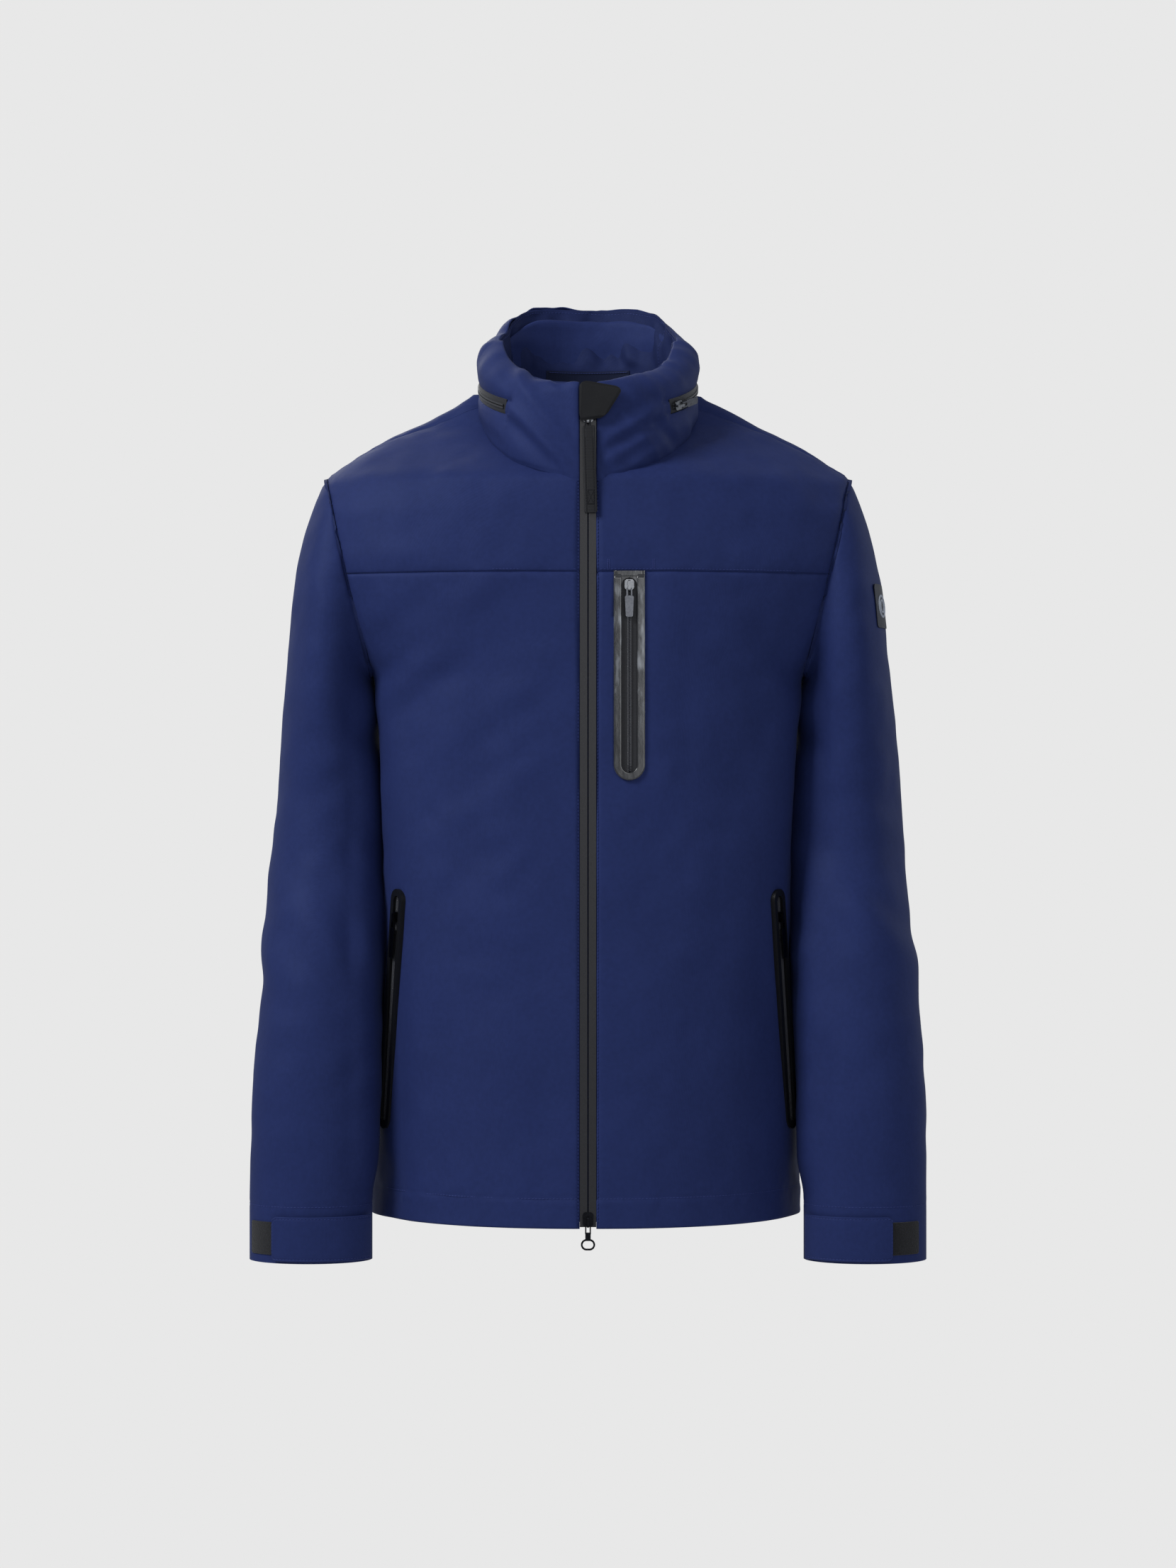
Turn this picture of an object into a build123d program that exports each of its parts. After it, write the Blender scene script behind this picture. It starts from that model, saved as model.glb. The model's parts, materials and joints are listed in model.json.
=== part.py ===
"""Foul weather jacket, worn shape with nobody inside: fabric shells, zips, pockets, cuffs, packed hood.

Millimetres, +Z up. The wearer faces -Y and their left side is +X. The origin is the middle of the gap
in the hang loop at the back of the neck, where the jacket hangs on a hook.
"""

from build123d import *

import os
from math import copysign, cos, pi, radians, sin, sqrt

os.makedirs("parts", exist_ok=True)

# ---------------------------------------------------------------- driving dimensions
FABRIC = 2.0  # shell fabric with its lining
CLEAR = 0.4  # between pieces on different bodies
SEWN = 0.15  # between pieces sewn to each other
FRONT_TOP_Z = 5.0  # top end of the front zip's line
FRONT_TOP_Y = -157.0
FRONT_SLOPE = 0.06  # the front leans out by this much for each millimetre down
HEM_Z = -708.0
HEM_FACING_Z = -668.0
YOKE_Z = -155.0
SEAM_Y = -68.0  # side and shoulder seams lie in this plane
FRONT_GAP = 7.0  # half the opening between the front edges
THROAT_HALF, THROAT_BACK_Y = 23.0, -80.0  # the notch behind the top of the front zip
THROAT_LOW, THROAT_TOP = -95.0, 20.0
OUTLINE_POINTS = 32
FAR = 500.0  # beyond any edge of the jacket

# torso sections: height, half width, y of the widest point, how far the front stands behind the
# front zip's line, y of the back, roundness
TORSO = [
    (HEM_Z, 188.0, -48.0, 0.0, 55.0, 2.2),
    (-640.0, 186.0, -53.0, 0.0, 49.0, 2.2),
    (-560.0, 181.5, -65.0, 0.0, 45.0, 2.2),
    (-480.0, 178.0, -78.0, 0.0, 43.0, 2.2),
    (-420.0, 177.0, -88.0, 0.0, 44.0, 2.2),
    (-345.0, 178.5, -95.0, 0.0, 49.0, 2.2),
    (-290.0, 182.0, -92.0, 0.0, 54.0, 2.2),
    (-242.0, 186.5, -82.0, 0.0, 57.0, 2.2),
    (-190.0, 225.0, -66.0, 0.0, 58.0, 2.3),
    (-140.0, 243.0, -61.0, 0.0, 55.0, 2.4),
    (-100.0, 245.0, -59.0, 0.0, 48.0, 2.2),
    (-72.0, 236.0, -58.0, 1.0, 44.0, 1.9),
    (-46.0, 198.0, -57.0, 40.0, 40.0, 2.0),
    (-21.0, 146.0, -56.0, 74.0, 34.0, 2.0),
    (6.0, 98.0, -55.0, 87.0, -33.0, 2.0),
]
ARMHOLE_LOW = (188.0, -240.0)  # x and z of the armhole's lowest and highest points
ARMHOLE_TOP = (229.0, -63.0)

# sleeve sections: inner x and z, outer x and z, y of the middle, half depth
SLEEVE = [
    (188.5, -240.1, 229.5, -63.1, -60.0, 68.0),
    (190.5, -247.0, 247.0, -108.0, -59.0, 72.0),
    (190.5, -254.0, 257.0, -160.0, -57.0, 75.0),
    (189.0, -266.0, 263.0, -222.0, -55.0, 76.0),
    (184.0, -303.0, 269.0, -288.0, -51.0, 74.0),
    (175.5, -345.0, 273.0, -345.0, -51.0, 70.0),
    (177.5, -393.0, 277.0, -393.0, -61.0, 65.0),
    (179.5, -440.0, 280.5, -440.0, -78.0, 60.0),
    (181.0, -484.0, 283.0, -484.0, -91.0, 56.0),
    (182.5, -540.0, 286.5, -540.0, -103.0, 51.0),
    (184.0, -600.0, 289.5, -600.0, -111.0, 46.0),
    (185.0, -660.0, 291.0, -660.0, -116.0, 42.0),
    (185.5, -700.0, 291.0, -700.0, -118.0, 40.0),
    (185.5, -743.0, 291.0, -743.0, -118.0, 40.0),
]
ELBOW_Z = -430.0
CUFF_Z = -743.0
CUFF_FACING_Z = -702.0
CUFF_X, CUFF_Y = 238.25, -118.0
CUFF_RX, CUFF_RY = 52.75, 40.0
TAB_LOW, TAB_HIGH = -741.0, -703.0
PATCH_LOW, PATCH_HIGH = -736.0, -708.0
LOOP_LIFT, HOOK_LIFT, TAB_LIFT, TAB_OUTER = (0.1, 0.9), (1.3, 2.1), 2.1, 3.6
TAB_ROOT = 21.0  # degrees round the cuff from its innermost point, through the front
TAB_END = {"left": 112.0, "right": 124.0}
HOOKS_FROM, HOOKS_TO = -48.0, -4.0  # degrees from the tab's end
LOOPS_FROM, LOOPS_TO = -46.0, 34.0

# collar: a vertical tube with its rim in a slanting plane and its foot on the shoulders
COLLAR = [(-95.0, 89.0, 25.0), (5.0, 96.0, 23.0), (110.0, 88.0, 20.0)]  # z, half width, back y
COLLAR_Y = -63.0
RIM_Z = 54.0
RIM_SLOPE = 0.49
HOOD_PACK = (7.0, 16.0)  # depths inside the collar's outer surface
COLLAR_LINING = (17.5, 19.5)
PACK_FRONT, LINING_FRONT = 27.0, 13.0  # how far each stops short of the front zip
PACK_DROP = 7.0  # the packed hood stops this far below the rim
COLLAR_LOW = -78.0  # the collar's foot goes no lower than this at the front
NECK_LABEL = (38.0, 9.0, 33.0)  # half width, low and high edge
NECK_LABEL_THICK = 0.9
# the hang loop's face towards the collar: x and y of its ends, its bends and its flat middle
LOOP_ENDS, LOOP_BENDS, LOOP_MIDDLE = (32.0, -3.6), (24.0, -6.8), (10.0, -8.8)
LOOP_THICK = 1.5
LOOP_WIDTH = 10.0

# zip round the collar, which lets the hood out: a circle in a tilted plane
HOOD_TILT = 20.0
HOOD_Y, HOOD_Z = -67.0, 10.5
HOOD_START, HOOD_END = 47.0, 313.0  # degrees from the front, towards the wearer's left
HOOD_SLOT = 6.6
HOOD_TAPE = (94.4, 95.2)
HOOD_COIL = (95.2, 96.3)
HOOD_COIL_HALF = 2.0
HOOD_ZIP_RADII = (90.0, 99.0)  # between these lies everything of the zip but its slider
HOOD_END_STRIP, HOOD_TEETH_INSET = 2.0, 2.5  # degrees from the slot's ends
HOOD_SLIDER_AT = 53.0
HOOD_OUTER, HOOD_INNER = (96.7, 98.2), (92.4, 93.8)
HOOD_GRIP = (15.0, 7.0, 5.6)  # length, and width at its two ends

# zips: depths are measured outwards from the fabric's face
SLIT = 0.5  # half the gap between the two rows of teeth
TAPE = (-1.4, -0.4)
COIL = (-3.2, -1.4)
TOP_SLIDER_Z, LOW_SLIDER_Z = -22.0, -700.0
TAPE_TOP, TAPE_END_LIFT = 3.5, 1.5
TEETH_TOP, TEETH_LOW = -4.0, -692.0
PLACKET_X, PLACKET_DEPTHS = (-22.0, 18.0), (-8.0, -7.0)
PLACKET_LIFT = 4.0
SEAM_TAB = 3.0  # width of the strip by which the placket and the guard are sewn on
GUARD = (4.8, 6.0)
GUARD_X, GUARD_Z = (-9.0, 29.0), (-24.5, 9.8)
FRONT_SLIDER_LENGTH, FRONT_SLIDER_WIDTH = 12.0, 9.0
FRONT_SLIDER_OUTER, FRONT_SLIDER_INNER = (-0.1, 1.6), (-5.4, -3.9)
WEBBING_WIDTH, WEBBING_LENGTH, WEBBING_THICK = 10.5, 69.0, 1.8
WEBBING_DROP = 3.0  # the full width starts this far below the link's bar
POCKET_TAPE = (-2.2, -1.2)
POCKET_COIL = (-1.2, -0.1)

# pockets
POCKET_END = 6.0  # how much of a frame's length is rim at each end
POCKET_TOOTH_EDGE = 1.9
POCKET_SLIDER = (8.0, 9.0)  # width and length
POCKET_OUTER, POCKET_INNER = (0.1, 1.5), (-4.2, -2.6)
POCKET_GRIP = (7.6, 6.0)  # width at its two ends
CHEST_X = 35.0
CHEST_TOP, CHEST_LOW = -154.0, -332.0
CHEST_WIDTH, CHEST_RIM, CHEST_DEPTHS = 26.3, 6.5, (-3.6, 0.6)
CHEST_SLIDER_DROP, CHEST_REACH = 12.0, 18.0  # slider below the frame's top, length of its grip
HAND_TOP = (162.8, -131.3, -425.0)  # middle of the zip's two ends on the wearer's left
HAND_LOW = (176.3, -107.4, -632.0)
HAND_FACING = (0.856, -0.517)
HAND_WIDTH, HAND_RIM, HAND_DEPTHS = 19.0, 4.9, (-4.5, 1.3)
HAND_SLIDER_DROP, HAND_REACH = 24.0, 26.0
BAG_DEPTHS = (4.2, 7.0)
CHEST_BAG = ((54.0, 150.0), (-330.0, -165.0))  # x and z
HAND_BAG = ((62.0, 152.0), (-640.0, -440.0))
SIDE_LABEL = (10.0, 46.0)  # width and height
SIDE_LABEL_AT = (11.0, -106.0)  # its corner, from the middle of the hand pocket's zip
SIDE_LABEL_DEPTHS = (0.6, 1.4)

# badge on the wearer's left upper arm
BADGE_MIDDLE, BADGE_FACING = (254.0, -95.0, -181.0), (0.68, -0.733, 0.0)
BADGE_SIZE, BADGE_CORNER, BADGE_THICK = (30.0, 38.0), 3.0, 1.1


def front_y(z):
    """The straight line down the middle of the front."""
    return FRONT_TOP_Y - FRONT_SLOPE * (FRONT_TOP_Z - z)


def keep(piece, name):
    """Labels a finished piece and writes it."""
    piece.part.label = name
    export_step(piece.part, f"parts/{name}.step")


def mirrored(piece):
    """The same piece on the other side of the body."""
    with BuildPart() as other:
        mirror(piece.part, about=Plane.YZ)
    return other


# ---------------------------------------------------------------- solids that the shells come from
def section_outline(half_width, side_y, front, back, power):
    """Points round one horizontal section, with its own depth in front and behind."""
    points = []
    for i in range(OUTLINE_POINTS):
        angle = 2 * pi * i / OUTLINE_POINTS - pi / 2
        c, s = cos(angle), sin(angle)
        depth = back - side_y if s > 0 else side_y - front
        x = half_width * copysign(abs(c) ** (2 / power), c)
        y = side_y + depth * copysign(abs(s) ** (2 / power), s)
        points.append((x, y))
    return points


def torso_solid(inset, past=0.0):
    """The torso filled in, its surface moved inwards by inset and its ends moved out by past."""
    with BuildPart() as solid:
        for z, half_width, side_y, behind, back, power in TORSO:
            front = front_y(z) + behind + inset
            outline = section_outline(half_width - inset, side_y, front, back - inset, power)
            lift = past if z > YOKE_Z else -past
            with BuildSketch(Plane.XY.offset(z + (lift if z in (HEM_Z, TORSO[-1][0]) else 0))):
                with BuildLine():
                    Spline(outline, periodic=True)
                make_face()
        loft(ruled=True)
    return solid


def collar_tube(inset):
    """The collar's tube filled in, from well below its foot to above its rim."""
    with BuildPart() as solid:
        for z, half_width, back in COLLAR:
            front = front_y(z)
            with BuildSketch(Plane.XY.offset(z)):
                with Locations((0, (front + back) / 2)):
                    Ellipse(half_width - inset, (back - front) / 2 - inset)
        loft(ruled=True)
    return solid


def above_rim(lift=0.0):
    """Everything above the collar's rim."""
    reach = 200.0
    with BuildPart() as block:
        with BuildSketch(Plane.YZ):
            with BuildLine():
                Polyline(
                    (COLLAR_Y - reach, RIM_Z + lift - RIM_SLOPE * reach),
                    (COLLAR_Y + reach, RIM_Z + lift + RIM_SLOPE * reach),
                    (COLLAR_Y + reach, 2 * reach),
                    (COLLAR_Y - reach, 2 * reach),
                    close=True,
                )
            make_face()
        extrude(amount=reach, both=True)
    return block


def armhole_cutter():
    """Everything outside the wearer's left armhole plane, above the armpit."""
    (low_x, low_z), (top_x, top_z) = ARMHOLE_LOW, ARMHOLE_TOP
    lean = (top_x - low_x) / (top_z - low_z)
    roof, reach = 60.0, 400.0
    with BuildPart() as cutter:
        with BuildSketch(Plane.XZ):
            with BuildLine():
                Polyline(
                    (low_x, low_z),
                    (top_x + lean * (roof - top_z), roof),
                    (reach, roof),
                    (reach, low_z),
                    close=True,
                )
            make_face()
        extrude(amount=reach, both=True)
    return cutter


def sleeve_section(row, inset, lift):
    """One section of the wearer's left sleeve, moved up the sleeve by lift."""
    inner_x, inner_z, outer_x, outer_z, y, half_depth = row
    across = Vector(outer_x - inner_x, 0, outer_z - inner_z)
    up = across.normalized().cross(Vector(0, 1, 0))
    middle = Vector((inner_x + outer_x) / 2, y, (inner_z + outer_z) / 2) + up * lift
    outline = section_outline(across.length / 2 - inset, 0, inset - half_depth, half_depth - inset, 2)
    with BuildSketch(Plane(origin=middle, x_dir=across, z_dir=up)) as section:
        with BuildLine():
            Spline(outline, periodic=True)
        make_face()
    return section.sketch


def sleeve_solid(inset, past=0.0):
    """The sleeve filled in from the armhole to the end of the cuff, its ends moved out by past."""
    with BuildPart() as solid:
        for upper, lower in zip(SLEEVE, SLEEVE[1:]):
            upper_lift = past if upper is SLEEVE[0] else 0.0
            lower_lift = -past if lower is SLEEVE[-1] else 0.0
            ends = [sleeve_section(lower, inset, lower_lift), sleeve_section(upper, inset, upper_lift)]
            loft(ends, ruled=True)
    return solid


# ---------------------------------------------------------------- planes along the zips
def front_plane(z, out=0.0, x=0.0):
    """On the front zip's line: local x to the wearer's left, y up the line, z out of the chest."""
    outwards = Vector(0, -1, FRONT_SLOPE).normalized()
    origin = Vector(x, front_y(z), z) + outwards * out
    return Plane(origin=origin, x_dir=(1, 0, 0), z_dir=outwards)


def hand_plane():
    """On the wearer's left hand pocket: local y up the zip, z out of the body."""
    top, low = Vector(*HAND_TOP), Vector(*HAND_LOW)
    up = (top - low).normalized()
    facing = Vector(*HAND_FACING, 0)
    facing = (facing - up * facing.dot(up)).normalized()
    return Plane(origin=(top + low) / 2, x_dir=up.cross(facing), z_dir=facing)


def hood_plane():
    """The tilted plane of the hood's zip, with its normal up the wearer's neck."""
    tilt = radians(HOOD_TILT)
    return Plane(origin=(0, HOOD_Y, HOOD_Z), x_dir=(1, 0, 0), z_dir=(0, -sin(tilt), cos(tilt)))


def hood_slider_plane(angle):
    """On the hood's zip: local y back along the zip towards its front end, z out of the collar."""
    ring = hood_plane()
    turn = radians(angle)
    outwards = ring.x_dir * sin(turn) - ring.y_dir * cos(turn)
    return Plane(origin=ring.origin, x_dir=ring.z_dir, z_dir=outwards)


def bar(plane, x_range, y_range, depth_range):
    """A flat bar between two values of each local coordinate."""
    (x0, x1), (y0, y1), (d0, d1) = x_range, y_range, depth_range
    with Locations(plane.offset((d0 + d1) / 2)):
        with Locations(((x0 + x1) / 2, (y0 + y1) / 2)):
            Box(x1 - x0, y1 - y0, d1 - d0)


def stadium(plane, width, height, depth_range, middle=(0, 0), mode=Mode.ADD):
    """A long plate with round ends, or a hole of that shape."""
    with BuildSketch(plane.offset(depth_range[0])) as outline:
        with Locations(middle):
            SlotOverall(height, width, rotation=90)
    extrude(outline.sketch, amount=depth_range[1] - depth_range[0], mode=mode)


# ---------------------------------------------------------------- zip hardware
PIN_R, BORE_R = 0.6, 0.85
TONGUE_HALF, ARM_IN, ARM_OUT = 1.0, 1.35, 2.5
ARM_HEIGHT = 1.6
PIN_LIFT = 1.3  # the pull's pin above the slider's face
PIN_INSET = 0.6  # the pull's pin past the slider's end
ARM_LENGTH = 6.0
PLATE_CORNER = 0.3  # of the plate's width
POST_HALF = 0.25
POST_SPAN = (0.1, 0.4)  # of the slider's length
TONGUE_LENGTH, TONGUE_AHEAD = 9.0, 3.1
GRIP_THICK, GRIP_CORNER = 1.4, 1.5


def side_plane(plane):
    """Looking across a zip: local x along the zip, y outwards."""
    return Plane(origin=plane.origin, x_dir=plane.y_dir, z_dir=plane.x_dir)


def slider_pin(length, face):
    """Where the pull's pin is, along the zip and outwards."""
    return (PIN_INSET - length / 2, face + PIN_LIFT)


def make_slider(plane, width, length, outer, inner):
    """Two plates joined by a post in the slit, and a tongue that holds the pull's pin."""
    pin = slider_pin(length, outer[1])
    with BuildPart() as slider:
        for low, high in (outer, inner):
            with BuildSketch(plane.offset(low)) as plate:
                RectangleRounded(width, length, width * PLATE_CORNER)
            extrude(plate.sketch, amount=high - low)
        post = [length * share for share in POST_SPAN]
        bar(plane, (-POST_HALF, POST_HALF), post, (inner[1], outer[0]))
        with BuildSketch(side_plane(plane)) as tongue:
            with Locations((pin[0] + TONGUE_AHEAD, pin[1])):
                SlotOverall(TONGUE_LENGTH, 2 * PIN_LIFT + 0.2)
        extrude(tongue.sketch, amount=TONGUE_HALF, both=True)
        with BuildSketch(side_plane(plane)) as bore:
            with Locations(pin):
                Circle(BORE_R)
        extrude(bore.sketch, amount=width, both=True, mode=Mode.SUBTRACT)
    return slider


def pull_loop(plane, pin):
    """The pin, its two arms and the bar between them, hanging from a slider's tongue."""
    side = side_plane(plane)
    bar_at = (pin[0] - ARM_LENGTH, pin[1])
    with BuildSketch(side) as pin_section:
        with Locations(pin, bar_at):
            Circle(PIN_R)
    extrude(pin_section.sketch, amount=ARM_OUT, both=True)
    for low in (ARM_IN, -ARM_OUT):
        with BuildSketch(side.offset(low)) as arm:
            with Locations(((pin[0] + bar_at[0]) / 2, pin[1])):
                SlotOverall(ARM_LENGTH + ARM_HEIGHT, ARM_HEIGHT)
        extrude(arm.sketch, amount=ARM_OUT - ARM_IN)


def make_puller(plane, length, face, reach, top_width, low_width):
    """A pull with a flat tapered grip below its loop."""
    pin = slider_pin(length, face)
    top = pin[0] - ARM_LENGTH + 0.2
    with BuildPart() as puller:
        pull_loop(plane, pin)
        with BuildSketch(plane.offset(pin[1] - GRIP_THICK / 2)) as grip:
            with BuildLine():
                Polyline(
                    (-top_width / 2, top),
                    (top_width / 2, top),
                    (low_width / 2, top - reach),
                    (-low_width / 2, top - reach),
                    close=True,
                )
            make_face()
            fillet(grip.vertices(), radius=GRIP_CORNER)
        extrude(grip.sketch, amount=GRIP_THICK)
    return puller


def make_tapes(plane, opening, height, depths):
    """The two halves of a zip's tape, which fill an opening with round ends."""
    gap = 0.1
    with BuildPart() as tapes:
        for x_range in ((SLIT, opening), (-opening, -SLIT)):
            bar(plane, x_range, (-height / 2, height / 2), depths)
        stadium(plane, 2 * (opening - gap), height - 2 * gap, depths, mode=Mode.INTERSECT)
    return tapes


# ---------------------------------------------------------------- torso
def hand_length():
    """The overall length of a hand pocket's frame."""
    return (Vector(*HAND_TOP) - Vector(*HAND_LOW)).length


def chest_plane():
    """In the middle of the chest pocket's zip."""
    return front_plane((CHEST_TOP + CHEST_LOW) / 2, x=CHEST_X)


def front_gap_cutter(half_width):
    """The strip down the middle of the front, from below the hem to above the collar."""
    with BuildPart() as cutter:
        with Locations((0, front_y(HEM_Z), HEM_Z)):
            Box(2 * half_width, 200, 1700)
    return cutter


def make_shell():
    """The torso's fabric tube with its openings for neck, arms and front zip."""
    cutter = armhole_cutter()
    throat = region((-THROAT_HALF, THROAT_HALF), (FRONT_TOP_Y + 1, THROAT_BACK_Y), (THROAT_LOW, THROAT_TOP))
    with BuildPart() as shell:
        add(torso_solid(0).part)
        add(torso_solid(FABRIC, past=2.0).part, mode=Mode.SUBTRACT)
        add(cutter.part, mode=Mode.SUBTRACT)
        add(mirrored(cutter).part, mode=Mode.SUBTRACT)
        add(front_gap_cutter(FRONT_GAP).part, mode=Mode.SUBTRACT)
        add(collar_tube(COLLAR_LINING[1] + SEWN).part, mode=Mode.SUBTRACT)
        add(throat.part, mode=Mode.SUBTRACT)
    return shell


def hand_hole():
    """The hole in the panels that a hand pocket's frame fills."""
    with BuildPart() as hole:
        stadium(hand_plane(), HAND_WIDTH + 2 * SEWN, hand_length() + 2 * SEWN, (-12, 12))
    return hole


def region(x_range, y_range, z_range):
    """A block between limits, which cuts one panel from the shell."""
    with BuildPart() as block:
        middle = [(low + high) / 2 for low, high in (x_range, y_range, z_range)]
        size = [high - low for low, high in (x_range, y_range, z_range)]
        with Locations(tuple(middle)):
            Box(*size)
    return block


def cut_from(shell, block):
    """The part of a shell inside a block."""
    with BuildPart() as panel:
        add(shell.part)
        add(block.part, mode=Mode.INTERSECT)
    return panel


def make_torso():
    """The shell cut into its five panels, and the facing inside the hem."""
    shell = make_shell()
    front, back, all_across = (-FAR, SEAM_Y), (SEAM_Y, FAR), (-FAR, FAR)
    plain_panel = cut_from(shell, region((0, FAR), front, (2 * HEM_Z, YOKE_Z)))
    yoke = cut_from(shell, region((0, FAR), front, (YOKE_Z, FAR)))
    with BuildPart() as panel:
        add(plain_panel.part)
        add(hand_hole().part, mode=Mode.SUBTRACT)
    chest_half = CHEST_WIDTH / 2 + SEWN
    chest_end = (CHEST_TOP - CHEST_LOW) / 2 + SEWN
    with BuildPart() as chest_hole:
        stadium(chest_plane(), 2 * chest_half, 2 * chest_end, (-20, 20))
        bar(chest_plane(), (-chest_half, chest_half), (chest_end - chest_half, chest_end), (-20, 20))
    with BuildPart() as left_panel:
        add(panel.part)
        add(chest_hole.part, mode=Mode.SUBTRACT)
    with BuildPart() as left_yoke:
        add(yoke.part)
        add(chest_hole.part, mode=Mode.SUBTRACT)
    keep(left_panel, "front_panel_left")
    keep(mirrored(panel), "front_panel_right")
    keep(left_yoke, "yoke_left")
    keep(mirrored(yoke), "yoke_right")
    keep(cut_from(shell, region(all_across, back, (2 * HEM_Z, FAR))), "back_panel")
    inner = torso_solid(FABRIC + 2.2, past=2.0)
    with BuildPart() as facing:
        add(torso_solid(FABRIC + 0.2).part)
        add(inner.part, mode=Mode.SUBTRACT)
        add(region(all_across, all_across, (HEM_FACING_Z, FAR)).part, mode=Mode.SUBTRACT)
        add(front_gap_cutter(24.0).part, mode=Mode.SUBTRACT)
    keep(facing, "hem_facing")


# ---------------------------------------------------------------- collar
def hood_band(radii, half_height, start, end):
    """A ring in the hood zip's plane, between two radii and two angles from the front."""
    ring = hood_plane()
    with BuildPart() as band:
        with BuildSketch(ring.offset(-half_height)) as section:
            Circle(radii[1])
            Circle(radii[0], mode=Mode.SUBTRACT)
        extrude(section.sketch, amount=2 * half_height)
        with BuildSketch(ring.offset(-half_height)) as wedge:
            with BuildLine():
                Polyline(*front_wedge(start, end), close=True)
            make_face()
        extrude(wedge.sketch, amount=2 * half_height, mode=Mode.SUBTRACT)
    return band


def front_wedge(start, end):
    """The part in front that a ring leaves out: from its end, through the front, to its start."""
    reach = 300.0
    outline = [(0, 0)]
    for angle in (end, (end + 360 + start) / 2, start + 360):
        turn = radians(angle)
        outline.append((reach * sin(turn), -reach * cos(turn)))
    return outline


def make_collar():
    """Outer collar with its slot, the hood folded up inside, and the lining collar."""
    shoulders = torso_solid(-SEWN)
    below = region((-FAR, FAR), (-FAR, FAR), (-FAR, COLLAR_LOW))
    layers = {
        "collar_outer": ((0, FABRIC), FRONT_GAP, 0.0),
        "packed_hood": (HOOD_PACK, PACK_FRONT, -PACK_DROP),
        "collar_lining": (COLLAR_LINING, LINING_FRONT, 0.0),
    }
    for name, ((outer, inner), front_gap, lift) in layers.items():
        with BuildPart() as layer:
            add(collar_tube(outer).part)
            add(collar_tube(inner).part, mode=Mode.SUBTRACT)
            add(above_rim(lift).part, mode=Mode.SUBTRACT)
            add(shoulders.part, mode=Mode.SUBTRACT)
            add(below.part, mode=Mode.SUBTRACT)
            add(front_gap_cutter(front_gap).part, mode=Mode.SUBTRACT)
            if name == "collar_outer":
                add(hood_band((80, 120), HOOD_SLOT, HOOD_START, HOOD_END).part, mode=Mode.SUBTRACT)
        keep(layer, name)
    make_neck_label()
    make_hang_loop()


def make_neck_label():
    """The blank label inside the back of the collar."""
    half_width, low, high = NECK_LABEL
    inner_face = COLLAR_LINING[1]
    with BuildPart() as label:
        add(collar_tube(inner_face + SEWN).part)
        add(collar_tube(inner_face + NECK_LABEL_THICK).part, mode=Mode.SUBTRACT)
        add(region((-half_width, half_width), (COLLAR_Y, FAR), (low, high)).part, mode=Mode.INTERSECT)
    keep(label, "neck_label")


def make_hang_loop():
    """The slack strip of webbing that a hook goes behind."""
    face = [LOOP_ENDS, LOOP_BENDS, LOOP_MIDDLE]
    outline = face + [(-x, y) for x, y in reversed(face)]
    outline += [(-x, y - LOOP_THICK) for x, y in face] + [(x, y - LOOP_THICK) for x, y in reversed(face)]
    with BuildPart() as loop:
        with BuildSketch(Plane.XY.offset(-LOOP_WIDTH / 2)):
            with BuildLine():
                Polyline(*outline, close=True)
            make_face()
        extrude(amount=LOOP_WIDTH)
    keep(loop, "hang_loop")


# ---------------------------------------------------------------- zips
def make_front_zip():
    """Tapes, teeth, end stops and pins of the front zip, the strip behind it and the guard over its top."""
    middle = front_plane(0)
    stretch = sqrt(1 + FRONT_SLOPE**2)  # length along the front for each millimetre of height
    top_y, low_y = TAPE_TOP * stretch, (HEM_Z + TAPE_END_LIFT) * stretch
    teeth_top, teeth_low = TEETH_TOP * stretch, TEETH_LOW * stretch
    gap, stop_length = 0.1, 4.0
    tooth_edge, stop_edge, pin_edge = 2.8, 3.2, 2.4
    for side, sign in (("left", 1), ("right", -1)):
        edges = sorted((sign * SLIT, sign * (FRONT_GAP - gap)))
        tooth_edges = sorted((sign * SLIT, sign * tooth_edge))
        with BuildPart() as tape:
            bar(middle, edges, (low_y, top_y), TAPE)
        keep(tape, f"front_zip_tape_{side}")
        with BuildPart() as teeth:
            bar(middle, tooth_edges, (teeth_low, teeth_top), COIL)
        keep(teeth, f"front_zip_coil_{side}")
    with BuildPart() as stops:
        for edges in ((SLIT, stop_edge), (-stop_edge, -SLIT)):
            bar(middle, edges, (teeth_top + gap, teeth_top + stop_length), COIL)
    keep(stops, "front_zip_stops")
    with BuildPart() as pins:
        for edges in ((SLIT, pin_edge), (-pin_edge, -SLIT)):
            bar(middle, edges, (low_y, teeth_low - gap), COIL)
    keep(pins, "front_zip_pins")
    make_inner_placket(middle, low_y + PLACKET_LIFT, top_y)
    make_chin_guard(middle, GUARD_Z[0] * stretch, GUARD_Z[1] * stretch)


def make_inner_placket(middle, low, top):
    """The wind flap behind the front zip, sewn on along one edge."""
    sewn_edge = PLACKET_X[1]
    with BuildPart() as placket:
        bar(middle, PLACKET_X, (low, top), PLACKET_DEPTHS)
        bar(middle, (sewn_edge - SEAM_TAB, sewn_edge), (low, top), (PLACKET_DEPTHS[1], -FABRIC - 3.0))
    keep(placket, "inner_placket")


def make_chin_guard(middle, low, top):
    """The smooth flap over the top of the front zip, with its sewn side and its sewn top edge."""
    sewn_edge, edge_height = GUARD_X[1], 1.0
    with BuildPart() as guard:
        bar(middle, GUARD_X, (low, top), GUARD)
        bar(middle, (sewn_edge - SEAM_TAB, sewn_edge), (low, top), (-2.9, GUARD[0]))
        bar(middle, GUARD_X, (top - edge_height, top), (-0.9, GUARD[0]))
    keep(guard, "chin_guard")


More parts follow.
